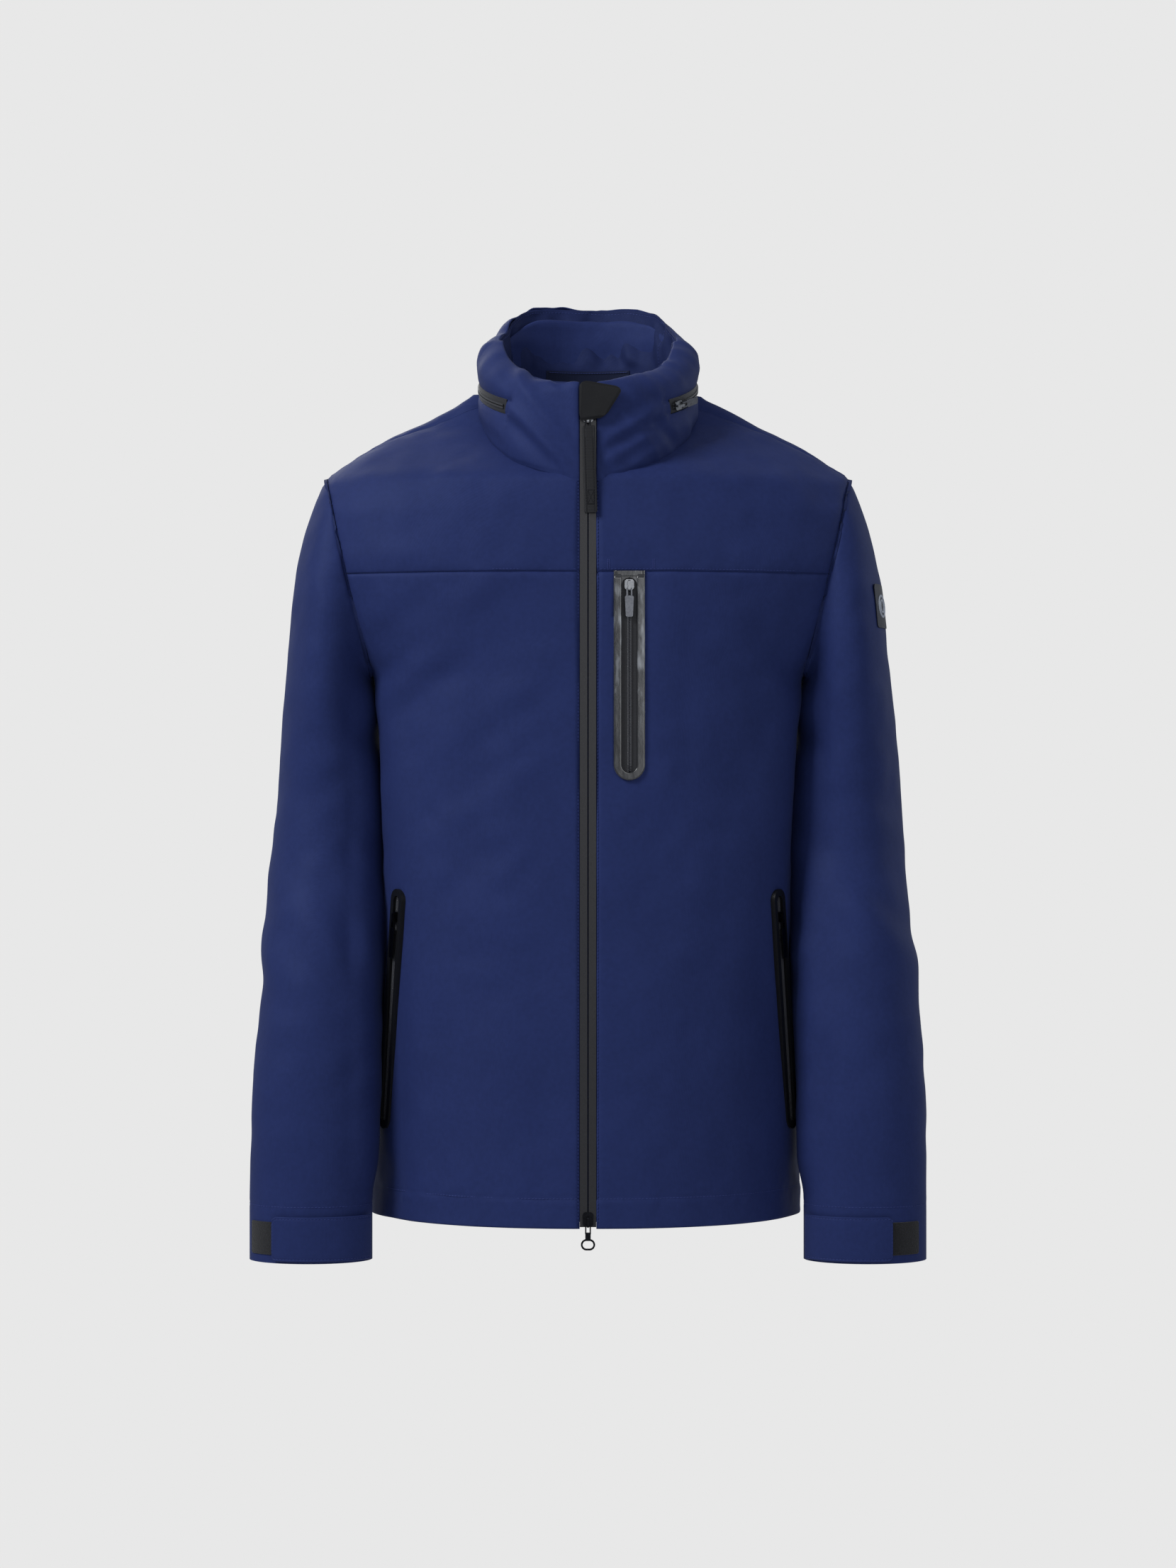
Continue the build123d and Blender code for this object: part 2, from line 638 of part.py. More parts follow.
def make_top_slider():
    """The slider at the top of the front zip, its metal link and its webbing pull."""
    plane = front_plane(TOP_SLIDER_Z)
    length = FRONT_SLIDER_LENGTH
    slider = make_slider(plane, FRONT_SLIDER_WIDTH, length, FRONT_SLIDER_OUTER, FRONT_SLIDER_INNER)
    keep(slider, "top_slider")
    pin = slider_pin(length, FRONT_SLIDER_OUTER[1])
    with BuildPart() as link:
        pull_loop(plane, pin)
    keep(link, "top_pull_link")
    bar_y = pin[0] - ARM_LENGTH
    fold_radius, hole_radius, corner = 1.5, 0.75, 1.2
    with BuildPart() as webbing:
        with BuildSketch(side_plane(plane)) as fold:
            with Locations((bar_y, pin[1])):
                Circle(fold_radius)
                with Locations(((1 - WEBBING_LENGTH) / 2, 0)):
                    Rectangle(WEBBING_LENGTH - 1, WEBBING_THICK)
                Circle(hole_radius, mode=Mode.SUBTRACT)
        extrude(fold.sketch, amount=ARM_IN - SEWN, both=True)
        with BuildSketch(plane.offset(pin[1] - WEBBING_THICK / 2)) as strap:
            with Locations((0, bar_y - WEBBING_DROP - WEBBING_LENGTH / 2)):
                RectangleRounded(WEBBING_WIDTH, WEBBING_LENGTH, corner)
        extrude(strap.sketch, amount=WEBBING_THICK)
    keep(webbing, "top_pull_webbing")


def make_bottom_slider():
    """The slider at the hem, upside down, and its ring pull."""
    plane = front_plane(LOW_SLIDER_Z)
    length = FRONT_SLIDER_LENGTH
    slider = make_slider(plane, FRONT_SLIDER_WIDTH, length, FRONT_SLIDER_OUTER, FRONT_SLIDER_INNER)
    keep(slider, "bottom_slider")
    pin = slider_pin(length, FRONT_SLIDER_OUTER[1])
    low = pin[0] - ARM_LENGTH
    neck_width, neck_length, neck_drop = 4.6, 6.4, 3.0
    ring_width, ring_height, ring_band, ring_drop, ring_thick = 12.0, 9.4, 3.1, 9.6, 1.4
    with BuildPart() as ring:
        pull_loop(plane, pin)
        with BuildSketch(plane.offset(pin[1] - ring_thick / 2)) as outline:
            with Locations((0, low - neck_drop)):
                Rectangle(neck_width, neck_length)
            with Locations((0, low - ring_drop)):
                SlotOverall(ring_width, ring_height)
                SlotOverall(ring_width - ring_band, ring_height - ring_band, mode=Mode.SUBTRACT)
        extrude(outline.sketch, amount=ring_thick)
    keep(ring, "bottom_pull_ring")


def make_pocket_zip(plane, size, name, rim, frame_depths, slider_drop, reach, square_top, mirror_too):
    """Frame, tapes, teeth, slider and pull of one pocket, and of its twin on the other side."""
    width, height = size
    opening = width / 2 - rim
    straight = height / 2 - POCKET_END - opening
    slider_origin = plane.origin + plane.y_dir * (height / 2 - slider_drop)
    slider_plane = Plane(origin=slider_origin, x_dir=plane.x_dir, z_dir=plane.z_dir)
    slider_width, length = POCKET_SLIDER
    face = POCKET_OUTER[1]
    with BuildPart() as frame:
        stadium(plane, width, height, frame_depths)
        if square_top:
            bar(plane, (-width / 2, width / 2), (height / 2 - width / 2, height / 2), frame_depths)
        stadium(plane, 2 * opening, height - 2 * POCKET_END, (-20, 20), mode=Mode.SUBTRACT)
    with BuildPart() as teeth:
        for edges in ((SLIT, POCKET_TOOTH_EDGE), (-POCKET_TOOTH_EDGE, -SLIT)):
            bar(plane, edges, (-straight, straight), POCKET_COIL)
    pieces = {
        f"{name}_pocket_frame": frame,
        f"{name}_zip_tapes": make_tapes(plane, opening, height - 2 * POCKET_END, POCKET_TAPE),
        f"{name}_zip_coils": teeth,
        f"{name}_slider": make_slider(slider_plane, slider_width, length, POCKET_OUTER, POCKET_INNER),
        f"{name}_pull": make_puller(slider_plane, length, face, reach, *POCKET_GRIP),
    }
    for piece_name, piece in pieces.items():
        if mirror_too:
            keep(piece, f"{piece_name}_left")
            keep(mirrored(piece), f"{piece_name}_right")
        else:
            keep(piece, piece_name)


def make_bags():
    """The pocket bags, flat against the inside of the front panels."""
    with BuildPart() as layer:
        add(torso_solid(BAG_DEPTHS[0]).part)
        add(torso_solid(BAG_DEPTHS[1], past=2.0).part, mode=Mode.SUBTRACT)
    front = (-FAR, SEAM_Y)
    keep(cut_from(layer, region(CHEST_BAG[0], front, CHEST_BAG[1])), "chest_pocket_bag")
    hand_bag = cut_from(layer, region(HAND_BAG[0], front, HAND_BAG[1]))
    keep(hand_bag, "hand_pocket_bag_left")
    keep(mirrored(hand_bag), "hand_pocket_bag_right")


def make_hood_zip():
    """The zip round the collar: tapes with their black front ends, teeth, slider and pull."""
    start, end, gap = HOOD_START, HOOD_END, 0.2
    slit = hood_band(HOOD_ZIP_RADII, SLIT, start + HOOD_END_STRIP, end - HOOD_END_STRIP)
    with BuildPart() as tapes:
        add(hood_band(HOOD_TAPE, HOOD_SLOT - SEWN, start + gap, end - gap).part)
        add(slit.part, mode=Mode.SUBTRACT)
    keep(tapes, "hood_zip_tapes")
    with BuildPart() as teeth:
        add(hood_band(HOOD_COIL, HOOD_COIL_HALF, start + HOOD_TEETH_INSET, end - HOOD_TEETH_INSET).part)
        add(slit.part, mode=Mode.SUBTRACT)
    keep(teeth, "hood_zip_coils")
    plane = hood_slider_plane(HOOD_SLIDER_AT)
    width, length = POCKET_SLIDER
    keep(make_slider(plane, width, length, HOOD_OUTER, HOOD_INNER), "hood_slider")
    keep(make_puller(plane, length, HOOD_OUTER[1], *HOOD_GRIP), "hood_pull")


# ---------------------------------------------------------------- sleeves
def cuff_ring(inset_outer, inset_inner, low, high):
    """An elliptical ring round the wearer's left cuff."""
    with BuildPart() as ring:
        with BuildSketch(Plane.XY.offset(low)):
            with Locations((CUFF_X, CUFF_Y)):
                Ellipse(CUFF_RX - inset_outer, CUFF_RY - inset_outer)
                Ellipse(CUFF_RX - inset_inner, CUFF_RY - inset_inner, mode=Mode.SUBTRACT)
        extrude(amount=high - low)
    return ring


def cuff_point(degrees_round, reach):
    """A point on an ellipse round the cuff's middle, from its innermost side through the front."""
    turn = radians(degrees_round)
    return (CUFF_X - reach * CUFF_RX * cos(turn), CUFF_Y - reach * CUFF_RY * sin(turn))


def cuff_wedge(low, high, start, end):
    """A wedge between two angles round the cuff, wide enough to cut any ring on it."""
    with BuildPart() as wedge:
        with BuildSketch(Plane.XY.offset(low)):
            with BuildLine():
                Polyline(
                    (CUFF_X, CUFF_Y),
                    cuff_point(start, 3),
                    cuff_point((start + end) / 2, 3),
                    cuff_point(end, 3),
                    close=True,
                )
            make_face()
        extrude(amount=high - low)
    return wedge


def cuff_strip(lift, low, high, start, end):
    """A strip on the front of the cuff, between two angles."""
    wedge = cuff_wedge(low, high, start, end)
    ring = cuff_ring(-lift[1], -lift[0], low, high)
    with BuildPart() as strip:
        add(ring.part)
        add(wedge.part, mode=Mode.INTERSECT)
    return strip


def make_cuff_tab(side, place):
    """The tab, its hook patch and the loop patch on the cuff."""
    end = TAB_END[side]
    tab = cuff_strip((TAB_LIFT, TAB_OUTER), TAB_LOW, TAB_HIGH, TAB_ROOT, end)
    hooks = cuff_strip(HOOK_LIFT, PATCH_LOW, PATCH_HIGH, end + HOOKS_FROM, end + HOOKS_TO)
    loops = cuff_strip(LOOP_LIFT, PATCH_LOW, PATCH_HIGH, end + LOOPS_FROM, end + LOOPS_TO)
    keep(place(tab), f"cuff_tab_{side}")
    keep(place(hooks), f"tab_hook_patch_{side}")
    keep(place(loops), f"cuff_loop_patch_{side}")


def make_sleeves():
    """Upper and lower sleeves, with their cuff facings and tabs."""
    with BuildPart() as sleeve:
        add(sleeve_solid(0).part)
        add(sleeve_solid(FABRIC, past=1.0).part, mode=Mode.SUBTRACT)
    upper = cut_from(sleeve, region((0, FAR), (-FAR, FAR), (ELBOW_Z + CLEAR / 2, FAR)))
    lower = cut_from(sleeve, region((0, FAR), (-FAR, FAR), (CUFF_Z, ELBOW_Z - CLEAR / 2)))
    facing = cuff_ring(FABRIC + 0.1, FABRIC + 1.9, CUFF_Z, CUFF_FACING_Z)
    for side, place in (("left", lambda piece: piece), ("right", mirrored)):
        keep(place(upper), f"upper_sleeve_{side}")
        keep(place(lower), f"lower_sleeve_{side}")
        keep(place(facing), f"cuff_facing_{side}")
        make_cuff_tab(side, place)


def make_badge():
    """The badge on the wearer's left sleeve."""
    width, height = BADGE_SIZE
    sideways = (BADGE_FACING[1], -BADGE_FACING[0], 0)
    with BuildPart() as block:
        with BuildSketch(Plane(origin=BADGE_MIDDLE, x_dir=sideways, z_dir=BADGE_FACING)):
            RectangleRounded(width, height, BADGE_CORNER)
        extrude(amount=width, both=True)
    with BuildPart() as badge:
        add(sleeve_solid(-BADGE_THICK).part)
        add(sleeve_solid(-SEWN).part, mode=Mode.SUBTRACT)
        add(block.part, mode=Mode.INTERSECT)
    keep(badge, "sleeve_badge")


def make_side_label():
    """A small tag sewn beside the wearer's right hand pocket."""
    width, height = SIDE_LABEL
    x, y = SIDE_LABEL_AT
    with BuildPart() as label:
        bar(hand_plane(), (x, x + width), (y, y + height), SIDE_LABEL_DEPTHS)
    keep(mirrored(label), "side_label")


make_torso()
make_collar()
make_front_zip()
make_top_slider()
make_bottom_slider()
make_pocket_zip(
    chest_plane(), (CHEST_WIDTH, CHEST_TOP - CHEST_LOW), "chest", CHEST_RIM, CHEST_DEPTHS,
    CHEST_SLIDER_DROP, CHEST_REACH, square_top=True, mirror_too=False,
)
make_pocket_zip(
    hand_plane(), (HAND_WIDTH, hand_length()), "hand", HAND_RIM, HAND_DEPTHS,
    HAND_SLIDER_DROP, HAND_REACH, square_top=False, mirror_too=True,
)
make_bags()
make_hood_zip()
make_sleeves()
make_badge()
make_side_label()
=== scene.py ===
"""Looks of the foul weather jacket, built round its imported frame: metres, +Z up, the wearer faces -Y.

The fabric pieces are dense meshes on the same sections as the CAD shells, with folds, seams and puckers.
Tables and lengths here are in millimetres, and every mesh is scaled to metres as it is made.
"""

import json
from math import cos, pi, radians, sin, sqrt

import bmesh
import bpy
import numpy as np
from mathutils import Matrix, Vector


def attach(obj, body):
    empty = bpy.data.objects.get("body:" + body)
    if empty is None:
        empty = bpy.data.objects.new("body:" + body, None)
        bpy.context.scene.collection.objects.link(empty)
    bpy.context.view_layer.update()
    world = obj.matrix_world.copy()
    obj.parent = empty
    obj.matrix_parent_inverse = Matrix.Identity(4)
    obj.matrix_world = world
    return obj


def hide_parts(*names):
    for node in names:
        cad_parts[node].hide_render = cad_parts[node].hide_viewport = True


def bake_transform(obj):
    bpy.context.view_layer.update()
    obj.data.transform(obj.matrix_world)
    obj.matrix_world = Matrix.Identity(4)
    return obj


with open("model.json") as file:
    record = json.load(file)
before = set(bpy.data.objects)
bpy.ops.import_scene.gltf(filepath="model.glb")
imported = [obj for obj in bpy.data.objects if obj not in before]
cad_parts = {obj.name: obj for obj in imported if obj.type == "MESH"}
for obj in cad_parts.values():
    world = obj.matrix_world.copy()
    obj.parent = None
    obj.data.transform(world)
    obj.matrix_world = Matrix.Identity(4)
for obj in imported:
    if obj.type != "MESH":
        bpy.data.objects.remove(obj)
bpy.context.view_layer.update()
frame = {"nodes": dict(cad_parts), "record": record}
MM = 0.001

# ---------------------------------------------------------------- the frame's driving numbers, mm
FRONT_TOP_Z, FRONT_TOP_Y, FRONT_SLOPE = 5.0, -157.0, 0.06
HEM_Z, YOKE_Z, SEAM_Y, FRONT_GAP = -708.0, -155.0, -68.0, 7.0
THICK = 1.5  # what a fabric layer measures
# height, half width, y of the widest point, how far the front stands back, y of the back, roundness
TORSO = np.array([
    (-708, 188, -48, 0, 55, 2.2), (-640, 186, -53, 0, 49, 2.2), (-560, 181.5, -65, 0, 45, 2.2),
    (-480, 178, -78, 0, 43, 2.2), (-420, 177, -88, 0, 44, 2.2), (-345, 178.5, -95, 0, 49, 2.2),
    (-290, 182, -92, 0, 54, 2.2), (-242, 186.5, -82, 0, 57, 2.2), (-190, 225, -66, 0, 58, 2.3),
    (-140, 243, -61, 0, 55, 2.4), (-100, 245, -59, 0, 48, 2.2), (-72, 236, -58, 1, 44, 1.9),
    (-46, 198, -57, 40, 40, 2.0), (-21, 146, -56, 74, 34, 2.0), (6, 98, -55, 87, -33, 2.0),
], float)
ARM_LOW, ARM_TOP = (188.0, -240.0), (229.0, -63.0)  # x and z of the armhole plane's ends
# inner x and z, outer x and z, y of the middle, half depth
SLEEVE = np.array([
    (188.5, -240.1, 229.5, -63.1, -60, 68), (190.5, -247, 247, -108, -59, 72),
    (190.5, -254, 257, -160, -57, 75), (189, -266, 263, -222, -55, 76),
    (184, -303, 269, -288, -51, 74), (175.5, -345, 273, -345, -51, 70),
    (177.5, -393, 277, -393, -61, 65), (179.5, -440, 280.5, -440, -78, 60),
    (181, -484, 283, -484, -91, 56), (182.5, -540, 286.5, -540, -103, 51),
    (184, -600, 289.5, -600, -111, 46), (185, -660, 291, -660, -116, 42),
    (185.5, -700, 291, -700, -118, 40), (185.5, -743, 291, -743, -118, 40),
], float)
SPLIT_Z = -395.0  # where the sleeve's upper piece ends and the lower one starts
CUFF_Z, CUFF_STITCH_Z, HEM_STITCH_Z = -743.0, -695.0, -683.0
CUFF_X, CUFF_Y, CUFF_RX, CUFF_RY = 238.25, -118.0, 52.75, 40.0
TAB_LOW, TAB_HIGH, TAB_ROOT = -741.0, -703.0, 21.0
TAB_END = {"left": 112.0, "right": 124.0}
COLLAR = np.array([(-95, 89, 25), (5, 96, 23), (110, 88, 20)], float)  # z, half width, back y
RIM_Z, RIM_SLOPE, RIM_Y = 54.0, 0.49, -63.0
COLLAR_FOOT, COLLAR_THICK = -78.0, 19.5
LINING_HALF = 76.0  # half the width between the lining's sides
RIM_STITCH = 4.4  # the stitches below the collar's rim
HOOD_TILT, HOOD_Y, HOOD_Z = 20.0, -67.0, 10.5
HOOD_START, HOOD_END, HOOD_SLOT = 47.0, 313.0, 5.8
CHEST_X, CHEST_TOP, CHEST_LOW = 35.0, -154.0, -332.0
CHEST_MIDDLE = (CHEST_TOP + CHEST_LOW) / 2
FRAME_ROUND = 13.1  # the half width of the chest frame, and the radius of its lower end
HAND_TOP, HAND_LOW = np.array((162.8, -131.3, -425.0)), np.array((176.3, -107.4, -632.0))
TORSO_AXIS, COLLAR_AXIS = (0, -60, 0), (0, -67, 0)  # upright lines inside the torso and the collar


# ---------------------------------------------------------------- numbers over arrays
def ramp(low, high, value):
    """0 below low, 1 above high, smooth between. low may be the larger."""
    share = np.clip((value - low) / (high - low), 0, 1)
    return share * share * (3 - 2 * share)


def bump_at(distance, width):
    """1 where distance is 0, falling off over width."""
    return np.exp(-((distance / width) ** 2))


LATTICE = np.random.RandomState(7).uniform(-1, 1, (32, 32, 32))


def noise(p, *scale, seed=0):
    """Smooth noise from about -1 to 1 at points p in mm, its cells scale mm wide along each axis."""
    q = p / np.array(scale if len(scale) == 3 else scale * 3) + 17.3 * seed + 100
    cell = np.floor(q).astype(int)
    f = q - cell
    f = f * f * (3 - 2 * f)
    total = 0
    for corner in np.ndindex(2, 2, 2):
        at = (cell + corner) % 32
        share = np.prod(np.where(np.array(corner) == 1, f, 1 - f), axis=-1)
        total = total + LATTICE[at[..., 0], at[..., 1], at[..., 2]] * share
    return 1.6 * total


def read_table(rows, column, at, blur):
    """A column of a table whose first column rises, its corners rounded off over blur."""
    taps = ((-1, 1), (-0.5, 4), (0, 6), (0.5, 4), (1, 1))
    return sum(w * np.interp(at + blur * step, rows[:, 0], rows[:, column]) for step, w in taps) / 16


def reach_along(points):
    """How far along a line each of its points is."""
    return np.concatenate([[0], np.cumsum(np.linalg.norm(np.diff(points, axis=0), axis=1))])


def arc_length(line):
    """The length of a line of points."""
    return float(reach_along(line)[-1])


def front_y(z):
    """The straight line down the middle of the front."""
    return FRONT_TOP_Y - FRONT_SLOPE * (FRONT_TOP_Z - z)


# ---------------------------------------------------------------- meshes
def grid_faces(rows, columns):
    """Quads of an open grid whose points run column by column along each row."""
    start = (np.arange(rows - 1)[:, None] * columns + np.arange(columns - 1)[None, :]).ravel()
    return np.stack([start, start + 1, start + columns + 1, start + columns], 1)


def new_mesh(name, points, faces):
    """An object with a mesh of points in mm, smooth all over."""
    mesh = bpy.data.meshes.new(name)
    mesh.from_pydata((np.asarray(points) * MM).tolist(), [], [list(map(int, f)) for f in faces])
    mesh.validate()
    mesh.update()
    made = bpy.data.objects.new(name, mesh)
    bpy.context.scene.collection.objects.link(made)
    mesh.polygons.foreach_set("use_smooth", [True] * len(mesh.polygons))
    return made


def edit(obj, change):
    """Runs change(bm) on an object's mesh."""
    bm = bmesh.new()
    bm.from_mesh(obj.data)
    change(bm)
    bm.to_mesh(obj.data)
    bm.free()
    obj.data.update()


def points_of(obj):
    """An object's vertices in mm."""
    found = np.zeros(len(obj.data.vertices) * 3)
    obj.data.vertices.foreach_get("co", found)
    return found.reshape(-1, 3) / MM


def normals_of(obj):
    """The normals of an object's vertices."""
    return np.array([v.normal for v in obj.data.vertices], float).reshape(-1, 3)


def push(obj, depth):
    """Moves each vertex along its normal by depth(points) in mm; keeps the faces' areas from before it."""
    p = points_of(obj)
    if "smooth_area" not in obj.data.attributes:
        areas = [face.area for face in obj.data.polygons]
        obj.data.attributes.new("smooth_area", "FLOAT", "FACE").data.foreach_set("value", areas)
    moved = p + normals_of(obj) * depth(p)[:, None]
    obj.data.vertices.foreach_set("co", (moved * MM).ravel())
    obj.data.update()


def delete_faces(bm, inside):
    """Deletes the faces whose middles in mm are inside."""
    middles = np.array([f.calc_center_median() for f in bm.faces]) / MM
    gone = [f for f, out in zip(bm.faces, inside(middles)) if out]
    bmesh.ops.delete(bm, geom=gone, context="FACES")


def slice_at(bm, point, normal, only):
    """Cuts edges along a plane, in mm, through the faces whose middles are in only."""
    middles = np.array([f.calc_center_median() for f in bm.faces]) / MM
    faces = [f for f, use in zip(bm.faces, only(middles)) if use]
    geometry = set(faces)
    for f in faces:
        geometry.update(f.edges)
        geometry.update(f.verts)
    bmesh.ops.bisect_plane(bm, geom=list(geometry), dist=1e-6,
                           plane_co=Vector(point) * MM, plane_no=Vector(normal))


def thicken(obj, thickness=THICK, inner_slot=None):
    """Gives a sheet its thickness, inwards."""
    solid = obj.modifiers.new("thickness", "SOLIDIFY")
    solid.thickness = thickness * MM
    solid.offset = -1
    solid.use_rim = True
    if inner_slot is not None:
        solid.material_offset = inner_slot
    return obj


def face_out(obj, middle):
    """Turns an open sheet so that its faces look away from a vertical axis through middle, in mm."""
    p = points_of(obj)
    away = (p - np.array(middle)) * (1, 1, 0)
    if (normals_of(obj) * away).sum() < 0:
        obj.data.flip_normals()


def copy_piece(obj, name):
    """A second piece with its own mesh."""
    made = obj.copy()
    made.data = obj.data.copy()
    made.name = made.data.name = name
    bpy.context.scene.collection.objects.link(made)
    return made


def mirror_copy(obj, name):
    """The same piece on the other side of the body."""
    made = copy_piece(obj, name)
    made.data.transform(Matrix.Scale(-1, 4, (1, 0, 0)))
    made.data.flip_normals()
    return made


# ---------------------------------------------------------------- the torso's surface
TORSO_UP = TORSO[np.argsort(TORSO[:, 0])]


def torso_at(z):
    """Half width, y of the widest point, front y, back y and roundness at these heights."""
    half, side, behind, back, power = (read_table(TORSO_UP, k, z, 7.0) for k in range(1, 6))
    return half, side, front_y(z) + behind, back, power


def torso_ring(turn, z):
    """Points of the sections at these heights; turn is -pi/2 in front, 0 on the left side, pi/2 behind."""
    half, side, front, back, power = torso_at(z)
    c, s = np.cos(turn), np.sin(turn)
    depth = np.where(s > 0, back - side, side - front)
    x = half * np.sign(c) * np.abs(c) ** (2 / power)
    y = side + depth * np.sign(s) * np.abs(s) ** (2 / power)
    return np.stack([x, y, z + 0 * turn], -1)


def turn_of_x(x, z):
    """Where on the front the section reaches this x."""
    half, _, _, _, power = torso_at(z)
    return -np.arccos(np.clip(x / half, 0, 1) ** (power / 2))


def turn_of_seam(z):
    """Where the section crosses the plane of the side seam on the wearer's left."""
    _, side, front, back, power = torso_at(z)
    ahead = np.clip((side - SEAM_Y) / (side - front), 0, 1) ** (power / 2)
    behind = np.clip((SEAM_Y - side) / (back - side), 0, 1) ** (power / 2)
    return np.arcsin(behind - ahead)


def torso_inside(p):
    """Below 1 for points inside the torso's surface."""
    half, side, front, back, power = torso_at(p[..., 2])
    depth = np.where(p[..., 1] > side, back - side, side - front)
    across = np.abs(p[..., 0] / half) ** power
    return (across + np.abs((p[..., 1] - side) / depth) ** power) ** (1 / power)


def torso_out(p):
    """The outward unit normals of the torso's surface."""
    step = 0.5
    n = np.stack([torso_inside(p + step * e) - torso_inside(p - step * e) for e in np.eye(3)], -1)
    return n / np.linalg.norm(n, axis=-1, keepdims=True)


ARM_ALONG = np.array((ARM_TOP[0] - ARM_LOW[0], 0, ARM_TOP[1] - ARM_LOW[1]))
ARM_LENGTH = np.linalg.norm(ARM_ALONG)
ARM_ALONG = ARM_ALONG / ARM_LENGTH
ARM_OUT = np.array((ARM_ALONG[2], 0, -ARM_ALONG[0]))
ARM_MIDDLE = np.array(((ARM_LOW[0] + ARM_TOP[0]) / 2, -60.0, (ARM_LOW[1] + ARM_TOP[1]) / 2))


def past_armhole(p):
    """How far points are outside the armhole plane on their own side, in mm."""
    q = np.abs(p[..., 0]) - ARM_LOW[0]
    return q * ARM_OUT[0] + (p[..., 2] - ARM_LOW[1]) * ARM_OUT[2]


def mirrored_left(p):
    """The points with those of the wearer's right side moved over to the left."""
    return np.column_stack([np.abs(p[:, 0]), p[:, 1:]])


def segment_distance(p, a, b):
    """Distance of points to a straight line between a and b."""
    along = np.clip(((p - a) @ (b - a)) / ((b - a) @ (b - a)), 0, 1)
    return np.linalg.norm(p - a - along[:, None] * (b - a), axis=1)


def ridge(p, start, end, width, height):
    """A soft fold along a straight line between two points, fading out at both ends."""
    a, b = np.array(start, float), np.array(end, float)
    share = ((p - a) @ (b - a)) / ((b - a) @ (b - a))
    off = np.linalg.norm(p - a - share[:, None] * (b - a), axis=1)
    return height * bump_at(off, width) * ramp(-0.15, 0.3, share) * ramp(1.15, 0.7, share)


def still(p):
    """0 where hard parts hold the cloth flat, 1 where it is free to fold."""
    ahead = p[:, 1] < SEAM_Y
    to_zip = np.where(ahead, np.abs(p[:, 0]) - FRONT_GAP, 99)
    chest = np.hypot(np.maximum(np.abs(p[:, 0] - CHEST_X) - 13, 0),
                     np.maximum(np.abs(p[:, 2] - CHEST_MIDDLE) - 89, 0))
    chest = np.where(ahead, chest, 99)
    hand = segment_distance(mirrored_left(p), HAND_TOP, HAND_LOW) - 9
    return ramp(4, 40, to_zip) * ramp(1, 24, chest) * ramp(1, 24, hand)


def chest_lift(p):
    """How far the cloth rises to meet the flat frame of the chest pocket."""
    off = np.hypot(np.maximum(np.abs(p[:, 0] - CHEST_X) - 11, 0),
                   np.maximum(np.abs(p[:, 2] - CHEST_MIDDLE) - 87, 0))
    rise = np.maximum(p[:, 1] - front_y(p[:, 2]) - 1.1, -1.1)
    return np.where(p[:, 1] < SEAM_Y, rise * ramp(42, 3, off), 0)


def torso_folds(p):
    """How far the torso's cloth stands off its sections: folds, dips at the seams, puckers beside them."""
    x, y, z = p[:, 0], p[:, 1], p[:, 2]
    free = still(p)
    across = np.abs(x)
    depth = 1.5 * noise(p, 120, seed=1)
    low = ramp(-330, -620, z)
    depth += 1.9 * low * noise(p, 46, 46, 330, seed=2)
    armpit = np.hypot(across - 178, z + 262)
    slant = np.stack([across * 0.6 + z * 0.8, y * 0.3, (z * 0.6 - across * 0.8) * 0.2], -1)
    depth += 2.6 * np.exp(-((armpit / 120) ** 2)) * noise(slant, 21, 60, 30, seed=3)
    depth += 0.45 * noise(p, 17, seed=4) + 0.8 * noise(p, 38, 38, 60, seed=5)
    depth *= 0.25 + 0.75 * free
    depth *= ramp(0, 26, np.abs(past_armhole(p))) * 0.7 + 0.3
    seams = np.minimum(np.abs(z - YOKE_Z) + 400 * (y > SEAM_Y), np.abs(y - SEAM_Y))
    seams = np.minimum(seams, np.where(z > ARM_LOW[1], np.abs(past_armhole(p)), 99))
    edges = np.where(y < SEAM_Y, across - FRONT_GAP, 99)
    pucker = noise(p, 6.5, seed=6)
    depth -= 0.9 * bump_at(seams, 2.0) + 0.28 * pucker * bump_at(seams - 4, 6)
    depth -= 0.7 * bump_at(edges, 1.3)
    stitched = np.abs(z - HEM_STITCH_Z)
    depth -= 0.35 * bump_at(stitched, 1.6) + 0.3 * pucker * bump_at(stitched - 5, 7)
    depth += 0.35 * ramp(HEM_STITCH_Z + 2, HEM_STITCH_Z - 3, z)
    depth += 1.2 * ramp(HEM_Z + 45, HEM_Z, z) * noise(p, 70, 70, 400, seed=8)
    return depth + chest_lift(p)


def stepped(*stretches):
    """Heights from the first value down or up through (end, step) stretches."""
    found = [stretches[0]]
    for end, step in stretches[1:]:
        count = max(1, round(abs(end - found[-1]) / step))
        found += list(np.linspace(found[-1], end, count + 1)[1:])
    return np.array(found)


def near(places, low, high, step):
    """Values from low to high a step apart, with closer ones round each place."""
    extra = [place + d for place in places for d in (-4, -2, 0, 2, 4)]
    plain = stepped(low, (high, step))
    kept = [v for v in plain if all(abs(v - e) > step * 0.4 for e in extra)]
    return np.array(sorted(kept + [e for e in extra if low <= e <= high]))


def torso_patch(name, heights, first, last, columns):
    """A sheet of the torso between two turns that depend on height."""
    z = heights[:, None]
    share = np.linspace(0, 1, columns)[None, :]
    turn = first(z) + (last(z) - first(z)) * share
    points = torso_ring(turn, z + 0 * turn)
    made = new_mesh(name, points.reshape(-1, 3), grid_faces(len(heights), columns))
    face_out(made, TORSO_AXIS)
    return made


